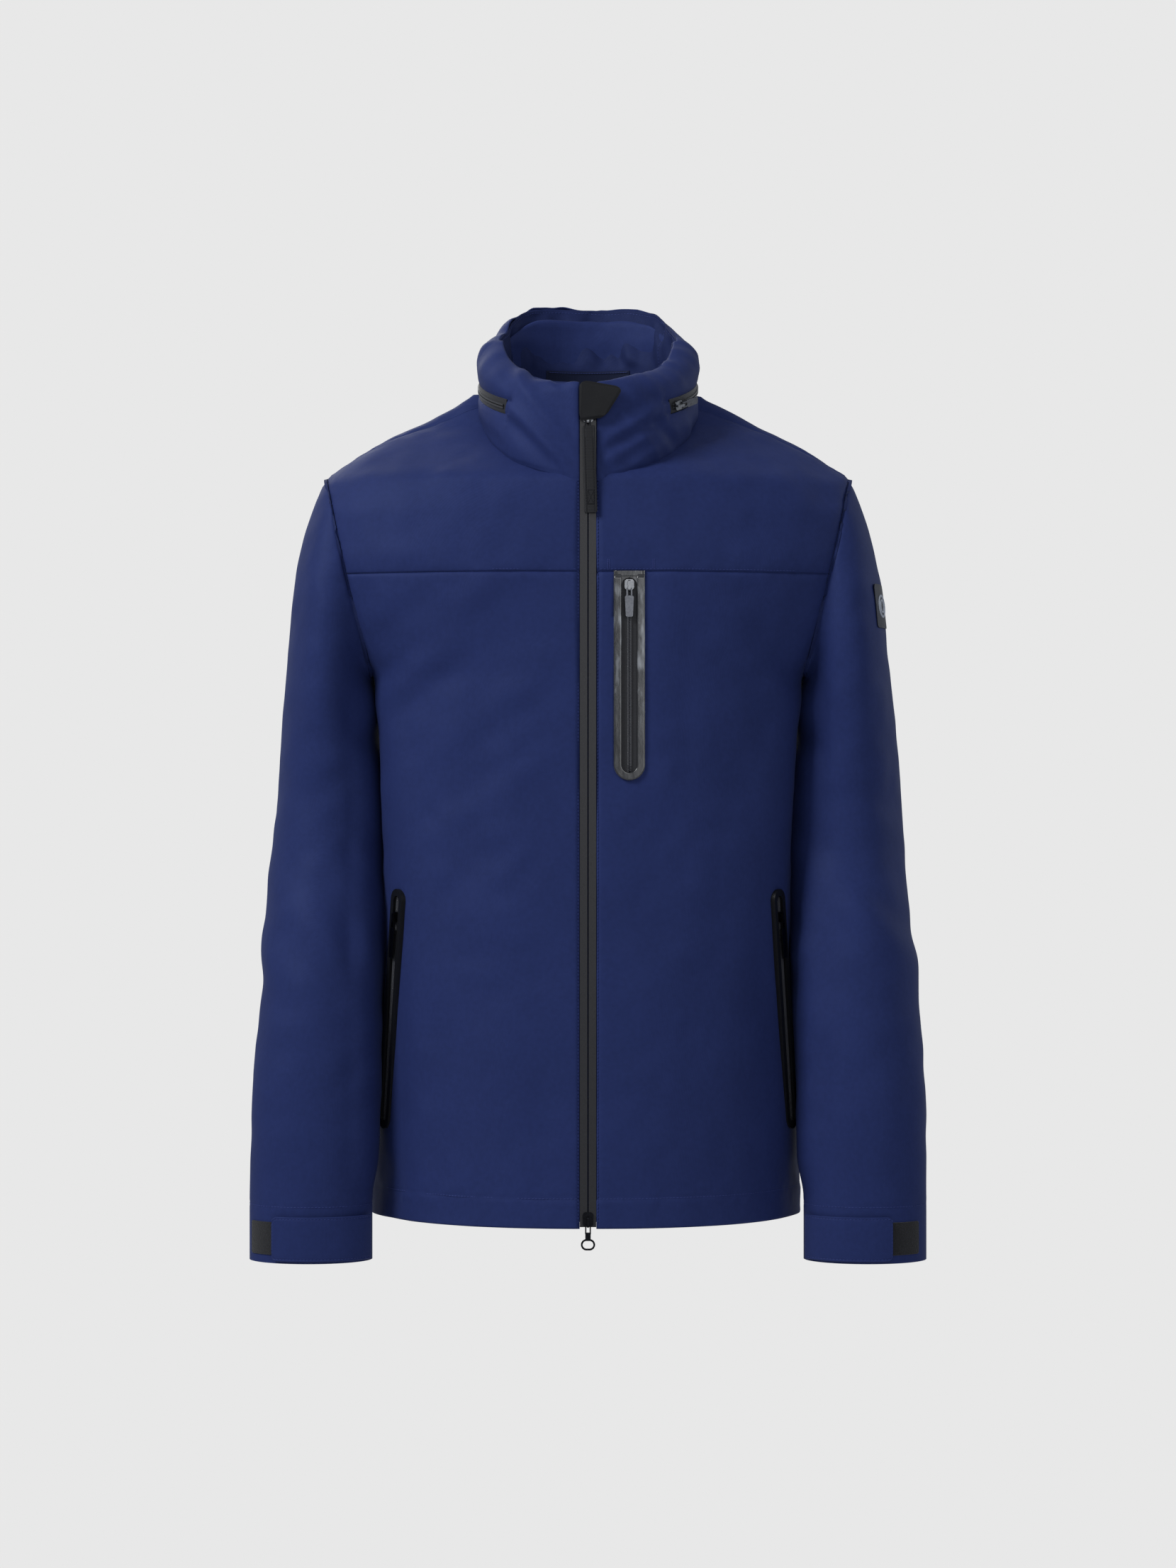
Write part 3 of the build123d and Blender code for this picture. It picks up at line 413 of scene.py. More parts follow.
def in_collar(p):
    """True for points deeper than 9 mm inside the collar's tube."""
    half, back = (np.interp(p[:, 2], COLLAR[:, 0], COLLAR[:, k]) for k in (1, 2))
    front = front_y(p[:, 2])
    inset = 9
    across = p[:, 0] / (half - inset)
    along = (p[:, 1] - (front + back) / 2) / ((back - front) / 2 - inset)
    return (across**2 + along**2 < 1) & (p[:, 2] > -110)


def cut_torso(obj):
    """Opens the armholes and the neck in a sheet of the torso, and lays its folds."""
    def change(bm):
        low = ARM_LOW[1] - 0.5
        for side in (1, -1):
            upper = lambda p: (p[:, 2] > low) & (p[:, 0] * side > 60)
            slice_at(bm, (side * ARM_LOW[0], 0, ARM_LOW[1]), (side * ARM_OUT[0], 0, ARM_OUT[2]), upper)
        delete_faces(bm, lambda p: (past_armhole(p) > 0) & (p[:, 2] > low))
        delete_faces(bm, in_collar)
        loose = [v for v in bm.verts if not v.link_faces]
        bmesh.ops.delete(bm, geom=loose, context="VERTS")
    edit(obj, change)
    push(obj, torso_folds)


def in_pocket(p):
    """True for points under a pocket frame or in its opening, inside the middle of the frame's rim."""
    chest_half, hand_half = 9.4, 7.0
    dx = np.abs(p[:, 0] - CHEST_X)
    below = np.maximum(CHEST_LOW + FRAME_ROUND - p[:, 2], 0)
    chest = (np.hypot(dx, below) < chest_half) & (p[:, 2] < CHEST_TOP - 3.5) & (p[:, 1] < SEAM_Y)
    end = 9.5 * (HAND_LOW - HAND_TOP) / np.linalg.norm(HAND_LOW - HAND_TOP)
    hand = segment_distance(mirrored_left(p), HAND_TOP + end, HAND_LOW - end) < hand_half
    return chest | hand


# ---------------------------------------------------------------- the sleeve's surface
SLEEVE_PATH = (SLEEVE[:, 0:2] + SLEEVE[:, 2:4]) / 2  # x and z of its middle
SLEEVE_REACH = reach_along(SLEEVE_PATH)
SLEEVE_LENGTH = SLEEVE_REACH[-1]


def sleeve_centres(share):
    """Inner and outer points, y of the middle and half depth at shares of the sleeve's length."""
    table = np.column_stack([SLEEVE_REACH, SLEEVE])
    at = share * SLEEVE_LENGTH
    blur = 9.0 * ramp(0, 30, at) * ramp(SLEEVE_LENGTH, SLEEVE_LENGTH - 20, at) + 1e-3
    return [read_table(table, k, at, blur) for k in range(1, 7)]


def armhole_radius(turn):
    """How far the torso's cut edge is from the armhole's middle, in the armhole plane."""
    low, high = np.full(turn.shape, 20.0), np.full(turn.shape, 125.0)
    direction = -np.cos(turn)[..., None] * ARM_ALONG + np.sin(turn)[..., None] * np.array((0, 1.0, 0))
    for _ in range(24):
        middle = (low + high) / 2
        inside = torso_inside(ARM_MIDDLE + direction * middle[..., None]) < 1
        inside &= (ARM_MIDDLE + direction * middle[..., None])[..., 2] > ARM_LOW[1]
        low, high = np.where(inside, middle, low), np.where(inside, high, middle)
    return low


def sleeve_ring(turn, share):
    """Points on the wearer's left sleeve; turn 0 is the inner side, pi/2 behind, pi the outer side."""
    inner_x, inner_z, outer_x, outer_z, y, depth = sleeve_centres(share)
    mid_x, mid_z = (inner_x + outer_x) / 2, (inner_z + outer_z) / 2
    half_x, half_z = (outer_x - inner_x) / 2, (outer_z - inner_z) / 2
    points = np.stack([mid_x - half_x * np.cos(turn), y + depth * np.sin(turn),
                       mid_z - half_z * np.cos(turn)], -1)
    edge = ARM_MIDDLE + armhole_radius(turn)[..., None] * (
        -np.cos(turn)[..., None] * ARM_ALONG + np.sin(turn)[..., None] * np.array((0, 1.0, 0)))
    joined = ramp(0.0, 0.07, share)[..., None]
    return edge * (1 - joined) + points * joined


def sleeve_folds(p):
    """How far the sleeve's cloth stands off its sections."""
    z = p[:, 2]
    outside = past_armhole(p)
    high = z > -330
    depth = 1.4 * noise(p, 95, seed=11) + 0.5 * noise(p, 19, seed=12) + 0.9 * noise(p, 34, 34, 90, seed=13)
    slant = np.stack([p[:, 0] * 0.7 + z * 0.7, p[:, 1] * 0.5, (z - p[:, 0]) * 0.15], -1)
    depth += 2.2 * bump_at(z + 445, 70) * noise(slant, 24, 40, 30, seed=14)
    depth += 1.7 * bump_at(z + 262, 60) * noise(slant, 22, 50, 30, seed=15) * ramp(215, 195, np.abs(p[:, 0]))
    depth *= ramp(CUFF_STITCH_Z + 4, CUFF_STITCH_Z + 70, z)
    depth *= np.where(high, ramp(0, 30, outside) * 0.8 + 0.2, 1)
    pucker = noise(p, 6.5, seed=16)
    armhole = np.where(high, np.abs(outside), 99)
    depth -= 0.9 * bump_at(armhole, 2.0) + 0.28 * pucker * bump_at(armhole - 4, 6)
    stitched = np.abs(z - CUFF_STITCH_Z)
    depth -= 0.3 * bump_at(stitched, 1.6) - 0.2 * pucker * bump_at(stitched, 5) * (z > CUFF_STITCH_Z)
    depth += 0.9 * ramp(8, 40, outside) * ramp(-150, -70, z)
    depth -= 1.7 * bump_at(armhole, 5) * ramp(-88, -68, z)
    inner = ramp(206, 188, np.abs(p[:, 0]))
    depth += (8.5 * bump_at(z + 268, 26) + 4.4 * ramp(-290, -320, z) * ramp(-690, -655, z)) * inner
    depth += 3.2 * bump_at(z + 478, 26) * inner
    return depth


# ---------------------------------------------------------------- the collar's surface
def collar_wall(turn, z, inset=0.0):
    """Points on the collar's tube; turn is 0 in front and grows towards the wearer's left."""
    half, back = (read_table(COLLAR, k, z, 12.0) for k in (1, 2))
    front = front_y(z)
    x = (half - inset) * np.sin(turn)
    y = (front + back) / 2 - ((back - front) / 2 - inset) * np.cos(turn)
    return np.stack([x, y, z + 0 * turn], -1)


def collar_turn(p):
    """Where points are round the collar."""
    return np.arctan2(p[:, 0], -(p[:, 1] - COLLAR_AXIS[1]))


def collar_foot(turn):
    """The height at which the collar's outer face stands on the shoulders."""
    low, high = np.full(turn.shape, COLLAR_FOOT), np.full(turn.shape, 5.0)
    for _ in range(20):
        middle = (low + high) / 2
        inside = torso_inside(collar_wall(turn, middle)) < 1
        low, high = np.where(inside, middle, low), np.where(inside, high, middle)
    return low


def collar_rim(turn):
    """The height of the collar's top edge."""
    z = np.full(turn.shape, 40.0)
    for _ in range(6):
        z = RIM_Z + RIM_SLOPE * (collar_wall(turn, z)[..., 1] - RIM_Y)
    where = np.stack([90 * np.sin(turn), 90 * np.cos(turn), 0 * turn], -1)
    off_middle = np.degrees(np.abs(turn - pi))
    z = z - 5.0 * bump_at(off_middle, 24)
    z = z + 2.4 * bump_at(off_middle - 40, 13) - 3.0 * bump_at(off_middle - 66, 14)
    return z + 1.0 * noise(where, 30, seed=21) + 0.5 * noise(where, 11, seed=22)


def collar_depth(turn):
    """How thick the collar is, from 3 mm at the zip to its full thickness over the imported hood."""
    from_zip = np.where(np.cos(turn) > 0, 90 * np.abs(np.sin(turn)) - FRONT_GAP, 99)
    return 3.2 + (COLLAR_THICK - 3.2) * ramp(0, 44, from_zip)


def rim_inset(turn):
    """How far inwards the top edge leans: thin behind, rolled over the hood at the sides."""
    side = ramp(0.15, 0.8, np.abs(np.sin(turn))) * ramp(-0.9, -0.3, np.cos(turn))
    return 2.5 + np.minimum(collar_depth(turn) - 3.0, 12.5 * side + 3.5 * (np.cos(turn) > 0))


def collar_profile(turn, station):
    """Points round the collar's section: 0-1 up the outer face, 1-2 over the roll, 2-3 down the lining."""
    foot, rim, thick, lean = collar_foot(turn), collar_rim(turn), collar_depth(turn), rim_inset(turn)
    roll = np.minimum(3.5 + 1.1 * lean, 0.5 * (rim - foot))
    up, over, down = np.clip(station, 0, 1), np.clip(station - 1, 0, 1), np.clip(station - 2, 0, 1)
    quarter = over * pi / 2
    z = foot - 1.5 + (rim - roll - foot + 1.5) * up + roll * np.sin(quarter)
    inner_foot = foot + 2
    z = np.where(station > 2, rim - 1.0 + (inner_foot - rim + 1.0) * down, z)
    inset = lean * (1 - np.cos(quarter))
    inset = np.where(station > 2, lean + 1.0 + (thick - lean - 1.0) * ramp(0, 0.55, down), inset)
    return collar_wall(turn, z, inset)


RING_NORMAL = np.array((0, -sin(radians(HOOD_TILT)), cos(radians(HOOD_TILT))))
RING_BACK = np.array((0, cos(radians(HOOD_TILT)), sin(radians(HOOD_TILT))))
RING_ORIGIN = np.array((0, HOOD_Y, HOOD_Z))


def above_ring(p):
    """How far points are above the plane of the hood's zip."""
    return (p - RING_ORIGIN) @ RING_NORMAL


def ring_angle(p):
    """Degrees round the hood's zip from the front, towards the wearer's left."""
    q = p - RING_ORIGIN
    return np.degrees(np.arctan2(q[..., 0], -(q @ RING_BACK))) % 360


def collar_folds(p):
    """How far the collar's outer face stands off its tube: the padding's bulge, soft folds, seams."""
    turn = collar_turn(p)
    foot, rim = collar_foot(turn), collar_rim(turn)
    share = np.clip((p[:, 2] - foot) / (rim - foot), 0, 1)
    from_zip = np.where(np.cos(turn) > 0, np.abs(p[:, 0]) - FRONT_GAP, 99)
    zipped = ramp(HOOD_SLOT, HOOD_SLOT + 16, np.abs(above_ring(p)))
    angle = ring_angle(p)
    by_zip = (angle > HOOD_START - 4) & (angle < HOOD_END + 4)
    free = np.where(by_zip, zipped, 1)
    depth = 3.6 * np.sin(pi * share) ** 0.8 * ramp(2, 46, from_zip) * (0.25 + 0.75 * free)
    around = np.stack([92 * np.sin(turn), 92 * np.cos(turn), p[:, 2]], -1)
    slanted = around + np.array((0.8, 0, 0)) * p[:, 2:3]
    depth += (1.2 * noise(around, 30, 30, 70, seed=23) + 0.7 * noise(slanted, 13, 13, 50, seed=24)) * free
    depth += 1.0 * noise(slanted, 11, 40, 60, seed=25) * bump_at(p[:, 2] - foot - 14, 22) * free
    depth += 0.9 * (1 - 2 * np.abs(noise(slanted, 22, 60, 60, seed=36))) * free
    for fold in COLLAR_FOLDS:
        depth += ridge(p, *fold) * free
    depth *= ramp(0, 12, from_zip) * 0.85 + 0.15
    depth -= 1.0 * bump_at(p[:, 2] - foot, 2.2) + 0.7 * bump_at(from_zip, 1.3)
    depth -= np.where(by_zip, 1.1 * bump_at(np.abs(above_ring(p)) - HOOD_SLOT, 2.2), 0)
    return depth


# start, end, width and height of the folds that the hood's weight drags into the collar's front
COLLAR_FOLDS = (
    ((-78, -125, -2), (-14, -160, -66), 7.0, 3.2), ((-70, -135, -16), (-12, -160, -78), 6.0, -2.8),
    ((-60, -140, 4), (-20, -158, -40), 9.0, 1.6),
    ((12, -160, -44), (66, -138, -8), 6.5, 3.0), ((12, -160, -54), (74, -132, -18), 5.5, -2.8),
    ((10, -160, -64), (58, -142, -30), 6.0, 2.4), ((16, -158, -34), (80, -125, 6), 8.0, -1.8),
    ((30, -155, -70), (70, -135, -40), 6.0, 2.0),
)


def lining_folds(p):
    """Soft upright folds of the collar's lining, flat behind the label and the hang loop."""
    turn = collar_turn(p)
    around = np.stack([75 * np.sin(turn), 75 * np.cos(turn), p[:, 2]], -1)
    slanted = around + np.array((0.35, 0, 0)) * p[:, 2:3]
    low = ramp(34, 44, p[:, 2])
    label = np.clip(ramp(40, 62, np.abs(p[:, 0])) + (p[:, 1] < -60) + low, 0, 1)
    rim = collar_rim(turn) - p[:, 2]
    seam = np.abs(np.abs(p[:, 0]) - 66) + 400 * (p[:, 1] < -60)
    ridged = 1 - 2 * np.abs(noise(slanted, 19, 19, 150, seed=27))
    depth = 3.4 * ridged + 3.0 * noise(slanted, 12, 12, 90, seed=35) + 1.6 * noise(around, 34, seed=28)
    depth *= label
    depth *= ramp(2, 20, rim)
    pucker = noise(p, 6.0, seed=29)
    depth -= 0.5 * bump_at(rim - RIM_STITCH, 1.4) - 0.35 * pucker * bump_at(rim - RIM_STITCH, 6)
    return depth - 0.9 * bump_at(seam, 1.6)


# ---------------------------------------------------------------- ribbons and rows of small things
def row_along(points, values, step):
    """Places a step apart along a line of points, the line's direction there, and other values there."""
    reach = reach_along(points)
    at = np.arange(0.5 * step, reach[-1], step)
    read = lambda table, where: np.column_stack([np.interp(where, reach, table[:, k]) for k in range(3)])
    along = read(points, at + 0.4 * step) - read(points, at - 0.4 * step)
    along /= np.maximum(np.linalg.norm(along, axis=1, keepdims=True), 1e-9)
    return read(points, at), along, read(values, at)


BEAD_RINGS = ((-1, 0.25), (-0.7, 0.8), (0, 1.0), (0.7, 0.8), (1, 0.25))  # place along the bar, radius
BEAD = np.array([(x, r * cos(k * pi / 3), r * sin(k * pi / 3)) for x, r in BEAD_RINGS for k in range(6)])
BEAD_FACES = [(6 * i + j, 6 * i + (j + 1) % 6, 6 * i + 6 + (j + 1) % 6, 6 * i + 6 + j)
              for i in range(4) for j in range(6)] + [tuple(range(5, -1, -1)), tuple(range(24, 30))]


def beads(name, places, along, out, size):
    """Small rounded bars: size is half length, half width and half height, lying across out."""
    side = np.cross(out, along)
    side /= np.linalg.norm(side, axis=1, keepdims=True)
    up = np.cross(along, side)
    points = places[:, None, :]
    for k, axis in enumerate((along, side, up)):
        points = points + BEAD[None, :, k:k + 1] * size[k] * axis[:, None, :]
    faces = [tuple(v + 30 * i for v in face) for i in range(len(places)) for face in BEAD_FACES]
    return new_mesh(name, points.reshape(-1, 3), faces)


def spread(count):
    """Shares from 0 to 1, closer together at both ends."""
    return 0.5 - 0.5 * np.cos(np.linspace(0, pi, count))


def strap_frame(line, out):
    """The directions along a strap, across it, and out of its face."""
    along = np.gradient(line, axis=0)
    along /= np.linalg.norm(along, axis=1, keepdims=True)
    side = np.cross(out, along)
    side /= np.linalg.norm(side, axis=1, keepdims=True)
    return along, side, np.cross(along, side)


STRAP_INSETS = np.array([0, 0.2, 0.6, 1.1, 1.5, 1.9, 2.3, 2.8, 3.4])  # section points, from the strap's edge
STRAP_STITCH = 1.9


def ribbon(name, line, out, half_width, thick, corners=(0, 0), dip=0.0):
    """A strap along a line of points, its face towards out, with a dip where its edges are stitched."""
    line, out = np.asarray(line, float), np.asarray(out, float)
    _, side, up = strap_frame(line, out)
    reach = reach_along(line)
    half = np.asarray(half_width) + 0 * reach
    for corner, to_end in zip(corners, (reach, reach[-1] - reach)):
        cut = np.maximum(corner - to_end, 0)
        half = half - corner + np.sqrt(np.maximum(corner**2 - cut**2, 0))
    share = STRAP_INSETS * min(1, 0.24 * np.min(half_width)) / np.max(half_width)
    r = thick / 2
    rise = r * np.sqrt(1 - (1 - np.minimum(STRAP_INSETS / r, 1)) ** 2)
    top = rise - dip * bump_at(STRAP_INSETS - STRAP_STITCH, 0.5)
    section = [(a - 1, h) for a, h in zip(share, top)] + [(1 - a, h) for a, h in zip(share, top)][::-1]
    under = list(zip(share[1:], rise[1:]))
    section += [(1 - a, -h) for a, h in under] + [(a - 1, -h) for a, h in under][::-1]
    rings = [line + side * (f * half)[:, None] + up * h for f, h in section]
    points = np.stack(rings, 1)
    count = len(section)
    last = (len(line) - 1) * count
    faces = [(i + j, i + (j + 1) % count, i + count + (j + 1) % count, i + count + j)
             for i in range(0, last, count) for j in range(count)]
    faces += [tuple(range(count - 1, -1, -1)), tuple(range(last, last + count))]
    made = new_mesh(name, points.reshape(-1, 3), faces)
    edit(made, lambda bm: bmesh.ops.recalc_face_normals(bm, faces=bm.faces))
    return made


def on_sheet(surface, u, v, folds, middle, inwards=False):
    """Points on a folded sheet and the directions out of it, for rows of stitches."""
    step = 1e-3
    p = surface(u, v)
    along_u = surface(u + step, v) - surface(u - step, v)
    normal = np.cross(along_u, surface(u, v + step) - surface(u, v - step))
    normal /= np.linalg.norm(normal, axis=-1, keepdims=True)
    away = ((p - np.array(middle)) * (1, 1, 0) * normal).sum(-1, keepdims=True)
    normal = normal * np.sign(away) * (-1 if inwards else 1)
    return p + normal * (folds(p) + 0.12)[..., None], normal


# ---------------------------------------------------------------- materials
def colour(red, green, blue):
    """A colour from the display's 0-255 values, as the shaders want it."""
    linear = [v / 255 / 12.92 if v <= 10 else ((v / 255 + 0.055) / 1.055) ** 2.4 for v in (red, green, blue)]
    return (*linear, 1.0)


class Material:
    """A principled material with a few helpers to wire procedural nodes into it."""

    def __init__(self, name, roughness, **sockets):
        self.made = bpy.data.materials.new(name)
        self.made.use_nodes = True
        self.tree = self.made.node_tree
        self.shader = self.tree.nodes["Principled BSDF"]
        self.shader.inputs["Roughness"].default_value = roughness
        for socket, value in sockets.items():
            self.shader.inputs[socket.replace("_", " ")].default_value = value
        self.place = self.add("ShaderNodeTexCoord").outputs["Object"]
        self.height = None

    def add(self, kind, **settings):
        """A new node with these settings."""
        node = self.tree.nodes.new(kind)
        for key, value in settings.items():
            setattr(node, key, value)
        return node

    def link(self, source, target):
        """Joins an output to an input."""
        self.tree.links.new(source, target)

    def scaled(self, scale):
        """The object's coordinates with each axis scaled."""
        mapping = self.add("ShaderNodeMapping")
        mapping.inputs["Scale"].default_value = scale
        self.link(self.place, mapping.inputs["Vector"])
        return mapping.outputs["Vector"]

    def noise(self, size, detail=2.0, stretch=(1, 1, 1)):
        """Noise with features about size metres across."""
        node = self.add("ShaderNodeTexNoise")
        node.inputs["Scale"].default_value = 1.0
        node.inputs["Detail"].default_value = detail
        self.link(self.scaled([s / size for s in stretch]), node.inputs["Vector"])
        return node.outputs["Fac"]

    def waves(self, axis, pitch, bend=0.0):
        """Even ribs along an axis, a rib every pitch metres."""
        node = self.add("ShaderNodeTexWave", bands_direction=axis, wave_profile="SIN")
        node.inputs["Scale"].default_value = 2 * pi / 20
        node.inputs["Distortion"].default_value = bend
        self.link(self.scaled([1 / pitch] * 3), node.inputs["Vector"])
        return node.outputs["Fac"]

    def mix(self, first, second, how="ADD"):
        """Two factors added or multiplied; the second may be a number."""
        node = self.add("ShaderNodeMath", operation=how)
        self.link(first, node.inputs[0])
        if isinstance(second, (int, float)):
            node.inputs[1].default_value = second
        else:
            self.link(second, node.inputs[1])
        return node.outputs[0]

    def paint(self, factor, *stops):
        """Colour that runs through stops of (place, colour) as factor rises."""
        ramp_node = self.add("ShaderNodeValToRGB")
        elements = ramp_node.color_ramp.elements
        for element, (place, tint) in zip(elements, (stops[0], stops[-1])):
            element.position, element.color = place, tint
        for place, tint in stops[1:-1]:
            elements.new(place).color = tint
        self.link(factor, ramp_node.inputs["Fac"])
        self.link(ramp_node.outputs["Color"], self.shader.inputs["Base Color"])

    def roughen(self, factor, low, high):
        """Roughness that runs from low to high as factor rises."""
        node = self.add("ShaderNodeMapRange")
        node.inputs["To Min"].default_value, node.inputs["To Max"].default_value = low, high
        self.link(factor, node.inputs["Value"])
        self.link(node.outputs["Result"], self.shader.inputs["Roughness"])

    def bump(self, factor, depth, strength=1.0):
        """Adds relief: depth is its height in metres."""
        node = self.add("ShaderNodeBump")
        node.inputs["Distance"].default_value = depth
        node.inputs["Strength"].default_value = strength
        self.link(factor, node.inputs["Height"])
        if self.height is not None:
            self.link(self.height, node.inputs["Normal"])
        self.height = node.outputs["Normal"]
        self.link(self.height, self.shader.inputs["Normal"])


def shades(tint, darker, lighter):
    """A darker and a lighter colour on either side of one."""
    return (tuple(c * (1 + s) for c in tint[:3]) + (1,) for s in (-darker, lighter))


def woven(name, tint, pitch, depth, roughness, sheen):
    """Cloth of fine crossed threads, its colour a little uneven."""
    made = Material(name, roughness, Sheen_Weight=sheen, Sheen_Roughness=0.45, Specular_IOR_Level=0.16)
    dark, light = shades(tint, 0.07, 0.07)
    crossed = made.mix(made.waves("X", pitch), made.waves("Z", pitch), "MULTIPLY")
    threads = made.mix(crossed, made.waves("Y", pitch))
    cloudy = made.mix(made.noise(0.05), made.noise(0.004, 1.0))
    made.paint(made.mix(cloudy, 0.5, "MULTIPLY"), (0.35, dark), (0.65, light))
    made.bump(threads, depth)
    made.bump(made.noise(0.0035, 3.0), depth * 1.2, 0.6)
    made.shader.inputs["Sheen Tint"].default_value = (0.6, 0.7, 1.0, 1)
    made.shader.inputs["Specular Tint"].default_value = (0.5, 0.62, 1.0, 1)
    return made.made


def coated(name, tint, roughness, grain, depth, coat=0.0):
    """Moulded plastic or coated tape with a fine grain."""
    made = Material(name, roughness, Coat_Weight=coat, Coat_Roughness=0.2, Specular_IOR_Level=0.2)
    dark, light = shades(tint, 0.15, 0.15)
    grainy = made.noise(grain, 3.0)
    made.paint(grainy, (0.3, dark), (0.7, light))
    made.roughen(made.noise(0.012), roughness - 0.06, roughness + 0.08)
    made.bump(grainy, depth, 0.7)
    return made.made


def ribbed(name, tint, roughness, axis, pitch, depth):
    """Webbing or zip tape with ribs across it."""
    made = Material(name, roughness, Sheen_Weight=0.15, Specular_IOR_Level=0.3)
    dark, light = shades(tint, 0.25, 0.2)
    ribs = made.waves(axis, pitch, 0.4)
    shade = made.mix(made.mix(ribs, made.noise(0.002)), 0.5, "MULTIPLY")
    made.paint(shade, (0.2, dark), (0.8, light))
    made.bump(ribs, depth)
    made.bump(made.noise(0.0012), depth * 0.5, 0.6)
    return made.made


def metal(name, tint, roughness):
    """Cast metal with a thin finish, worn a little unevenly."""
    made = Material(name, roughness, Metallic=1.0)
    dark, light = shades(tint, 0.2, 0.15)
    worn = made.noise(0.0018, 4.0)
    made.paint(worn, (0.35, dark), (0.7, light))
    made.roughen(worn, roughness - 0.08, roughness + 0.12)
    made.bump(worn, 0.00003, 0.5)
    return made.made


def film():
    """The glossy heat-welded film: black, with pale streaks of painted reflection along it."""
    made = Material("soft_film", 0.2, Coat_Weight=1.0, Coat_Roughness=0.08)
    painted_reflection_streaks = made.mix(made.noise(0.03, 3.0, (1, 1, 0.22)), made.noise(0.006, 2.0, (1, 1, 0.3)))
    painted_reflection_streaks = made.mix(painted_reflection_streaks, 0.5, "MULTIPLY")
    # painted reflection: the pale streaks in the colour stand in for highlights on the glossy film
    made.paint(painted_reflection_streaks, (0.38, colour(16, 17, 20)), (0.52, colour(40, 42, 46)), (0.64, colour(132, 136, 142)))
    made.roughen(painted_reflection_streaks, 0.12, 0.36)
    made.bump(made.noise(0.004, 2.0, (1, 1, 0.5)), 0.0003, 0.7)
    return made.made


def napped():
    """The napped face of the loop patches."""
    made = Material("napped", 0.95, Sheen_Weight=0.12, Sheen_Roughness=0.5)
    loops = made.noise(0.0011, 4.0)
    made.paint(loops, (0.3, colour(6, 6, 9)), (0.7, colour(24, 25, 31)))
    made.bump(loops, 0.0006, 1.0)
    return made.made


WOVEN = {  # colour, pitch of the threads and their relief in metres, roughness, sheen
    "shell_fabric": (colour(33, 43, 87), 0.0007, 0.00003, 0.62, 0.02),
    "lining_fabric": (colour(27, 35, 72), 0.0010, 0.00004, 0.68, 0.02),
    "bag_mesh": (colour(28, 34, 62), 0.0016, 0.0002, 0.8, 0.1),
    "label": (colour(196, 200, 206), 0.0006, 0.00003, 0.7, 0.1),
    "neck_cloth": (colour(20, 24, 44), 0.0006, 0.00003, 0.6, 0.02),
}
COATED = {  # colour, roughness, size of the grain and its relief in metres, coat
    "zip_teeth": (colour(58, 59, 63), 0.34, 0.0008, 0.00003, 0.2),
    "coated_tape": (colour(34, 34, 37), 0.28, 0.0010, 0.00004, 0.5),
    "welded_frame": (colour(15, 16, 19), 0.42, 0.0009, 0.00006, 0.15),
    "guard_fabric": (colour(13, 14, 18), 0.46, 0.0012, 0.00004),
    "badge": (colour(24, 27, 40), 0.42, 0.0012, 0.00005),
    "badge_mark": (colour(150, 156, 168), 0.4, 0.0012, 0.00003),
    "thread": (colour(45, 57, 112), 0.55, 0.0006, 0.00003),
    "pale_thread": (colour(150, 156, 170), 0.5, 0.0006, 0.00003),
    "dark_thread": (colour(20, 21, 26), 0.6, 0.0006, 0.00003),
    "coil": (colour(66, 67, 72), 0.32, 0.0006, 0.00002, 0.3),
}
RIBBED = {  # colour, roughness, axis along the ribs' row, their pitch and relief in metres
    "zip_tape": (colour(30, 31, 36), 0.5, "Z", 0.0011, 0.00006),
    "webbing": (colour(16, 17, 22), 0.7, "Z", 0.0013, 0.00012),
}
METAL = {  # colour, roughness
    "slider_metal": (colour(150, 152, 156), 0.3),
    "puller": (colour(112, 114, 120), 0.3),
    "black_metal": (colour(34, 35, 39), 0.34),
}
MATERIALS = {name: make(name, *look)
             for make, looks in ((woven, WOVEN), (coated, COATED), (ribbed, RIBBED), (metal, METAL))
             for name, look in looks.items()}
MATERIALS.update(soft_film=film(), hook_and_loop=napped())


def slot_of(node):
    """The material slot that the record gives a node."""
    return next(s["material_slot"] for s in frame["record"]["subparts"] if s["node"] == node)


def finish_piece(obj, body, slot, *nodes, material=None, inner=None):
    """Gives a piece its material, its body and the CAD nodes it stands for."""
    obj.data.materials.clear()
    obj.data.materials.append(MATERIALS[material or slot])
    if inner:
        obj.data.materials.append(MATERIALS[inner])
    if body:
        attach(obj, body)
    if nodes:
        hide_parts(*nodes)
    return obj


# ---------------------------------------------------------------- the torso's pieces
CLOTH_STEP = 3.6


def finish_cloth(cloth, body, node):
    """The steps that every large piece of shell fabric has in common, its lining side included."""
    thicken(cloth, inner_slot=1)
    if body is None:
        crisp = cloth.modifiers.new("crisp rims", "EDGE_SPLIT")
        crisp.split_angle = radians(50)
    finish_piece(cloth, body, "shell_fabric", node, inner="lining_fabric")


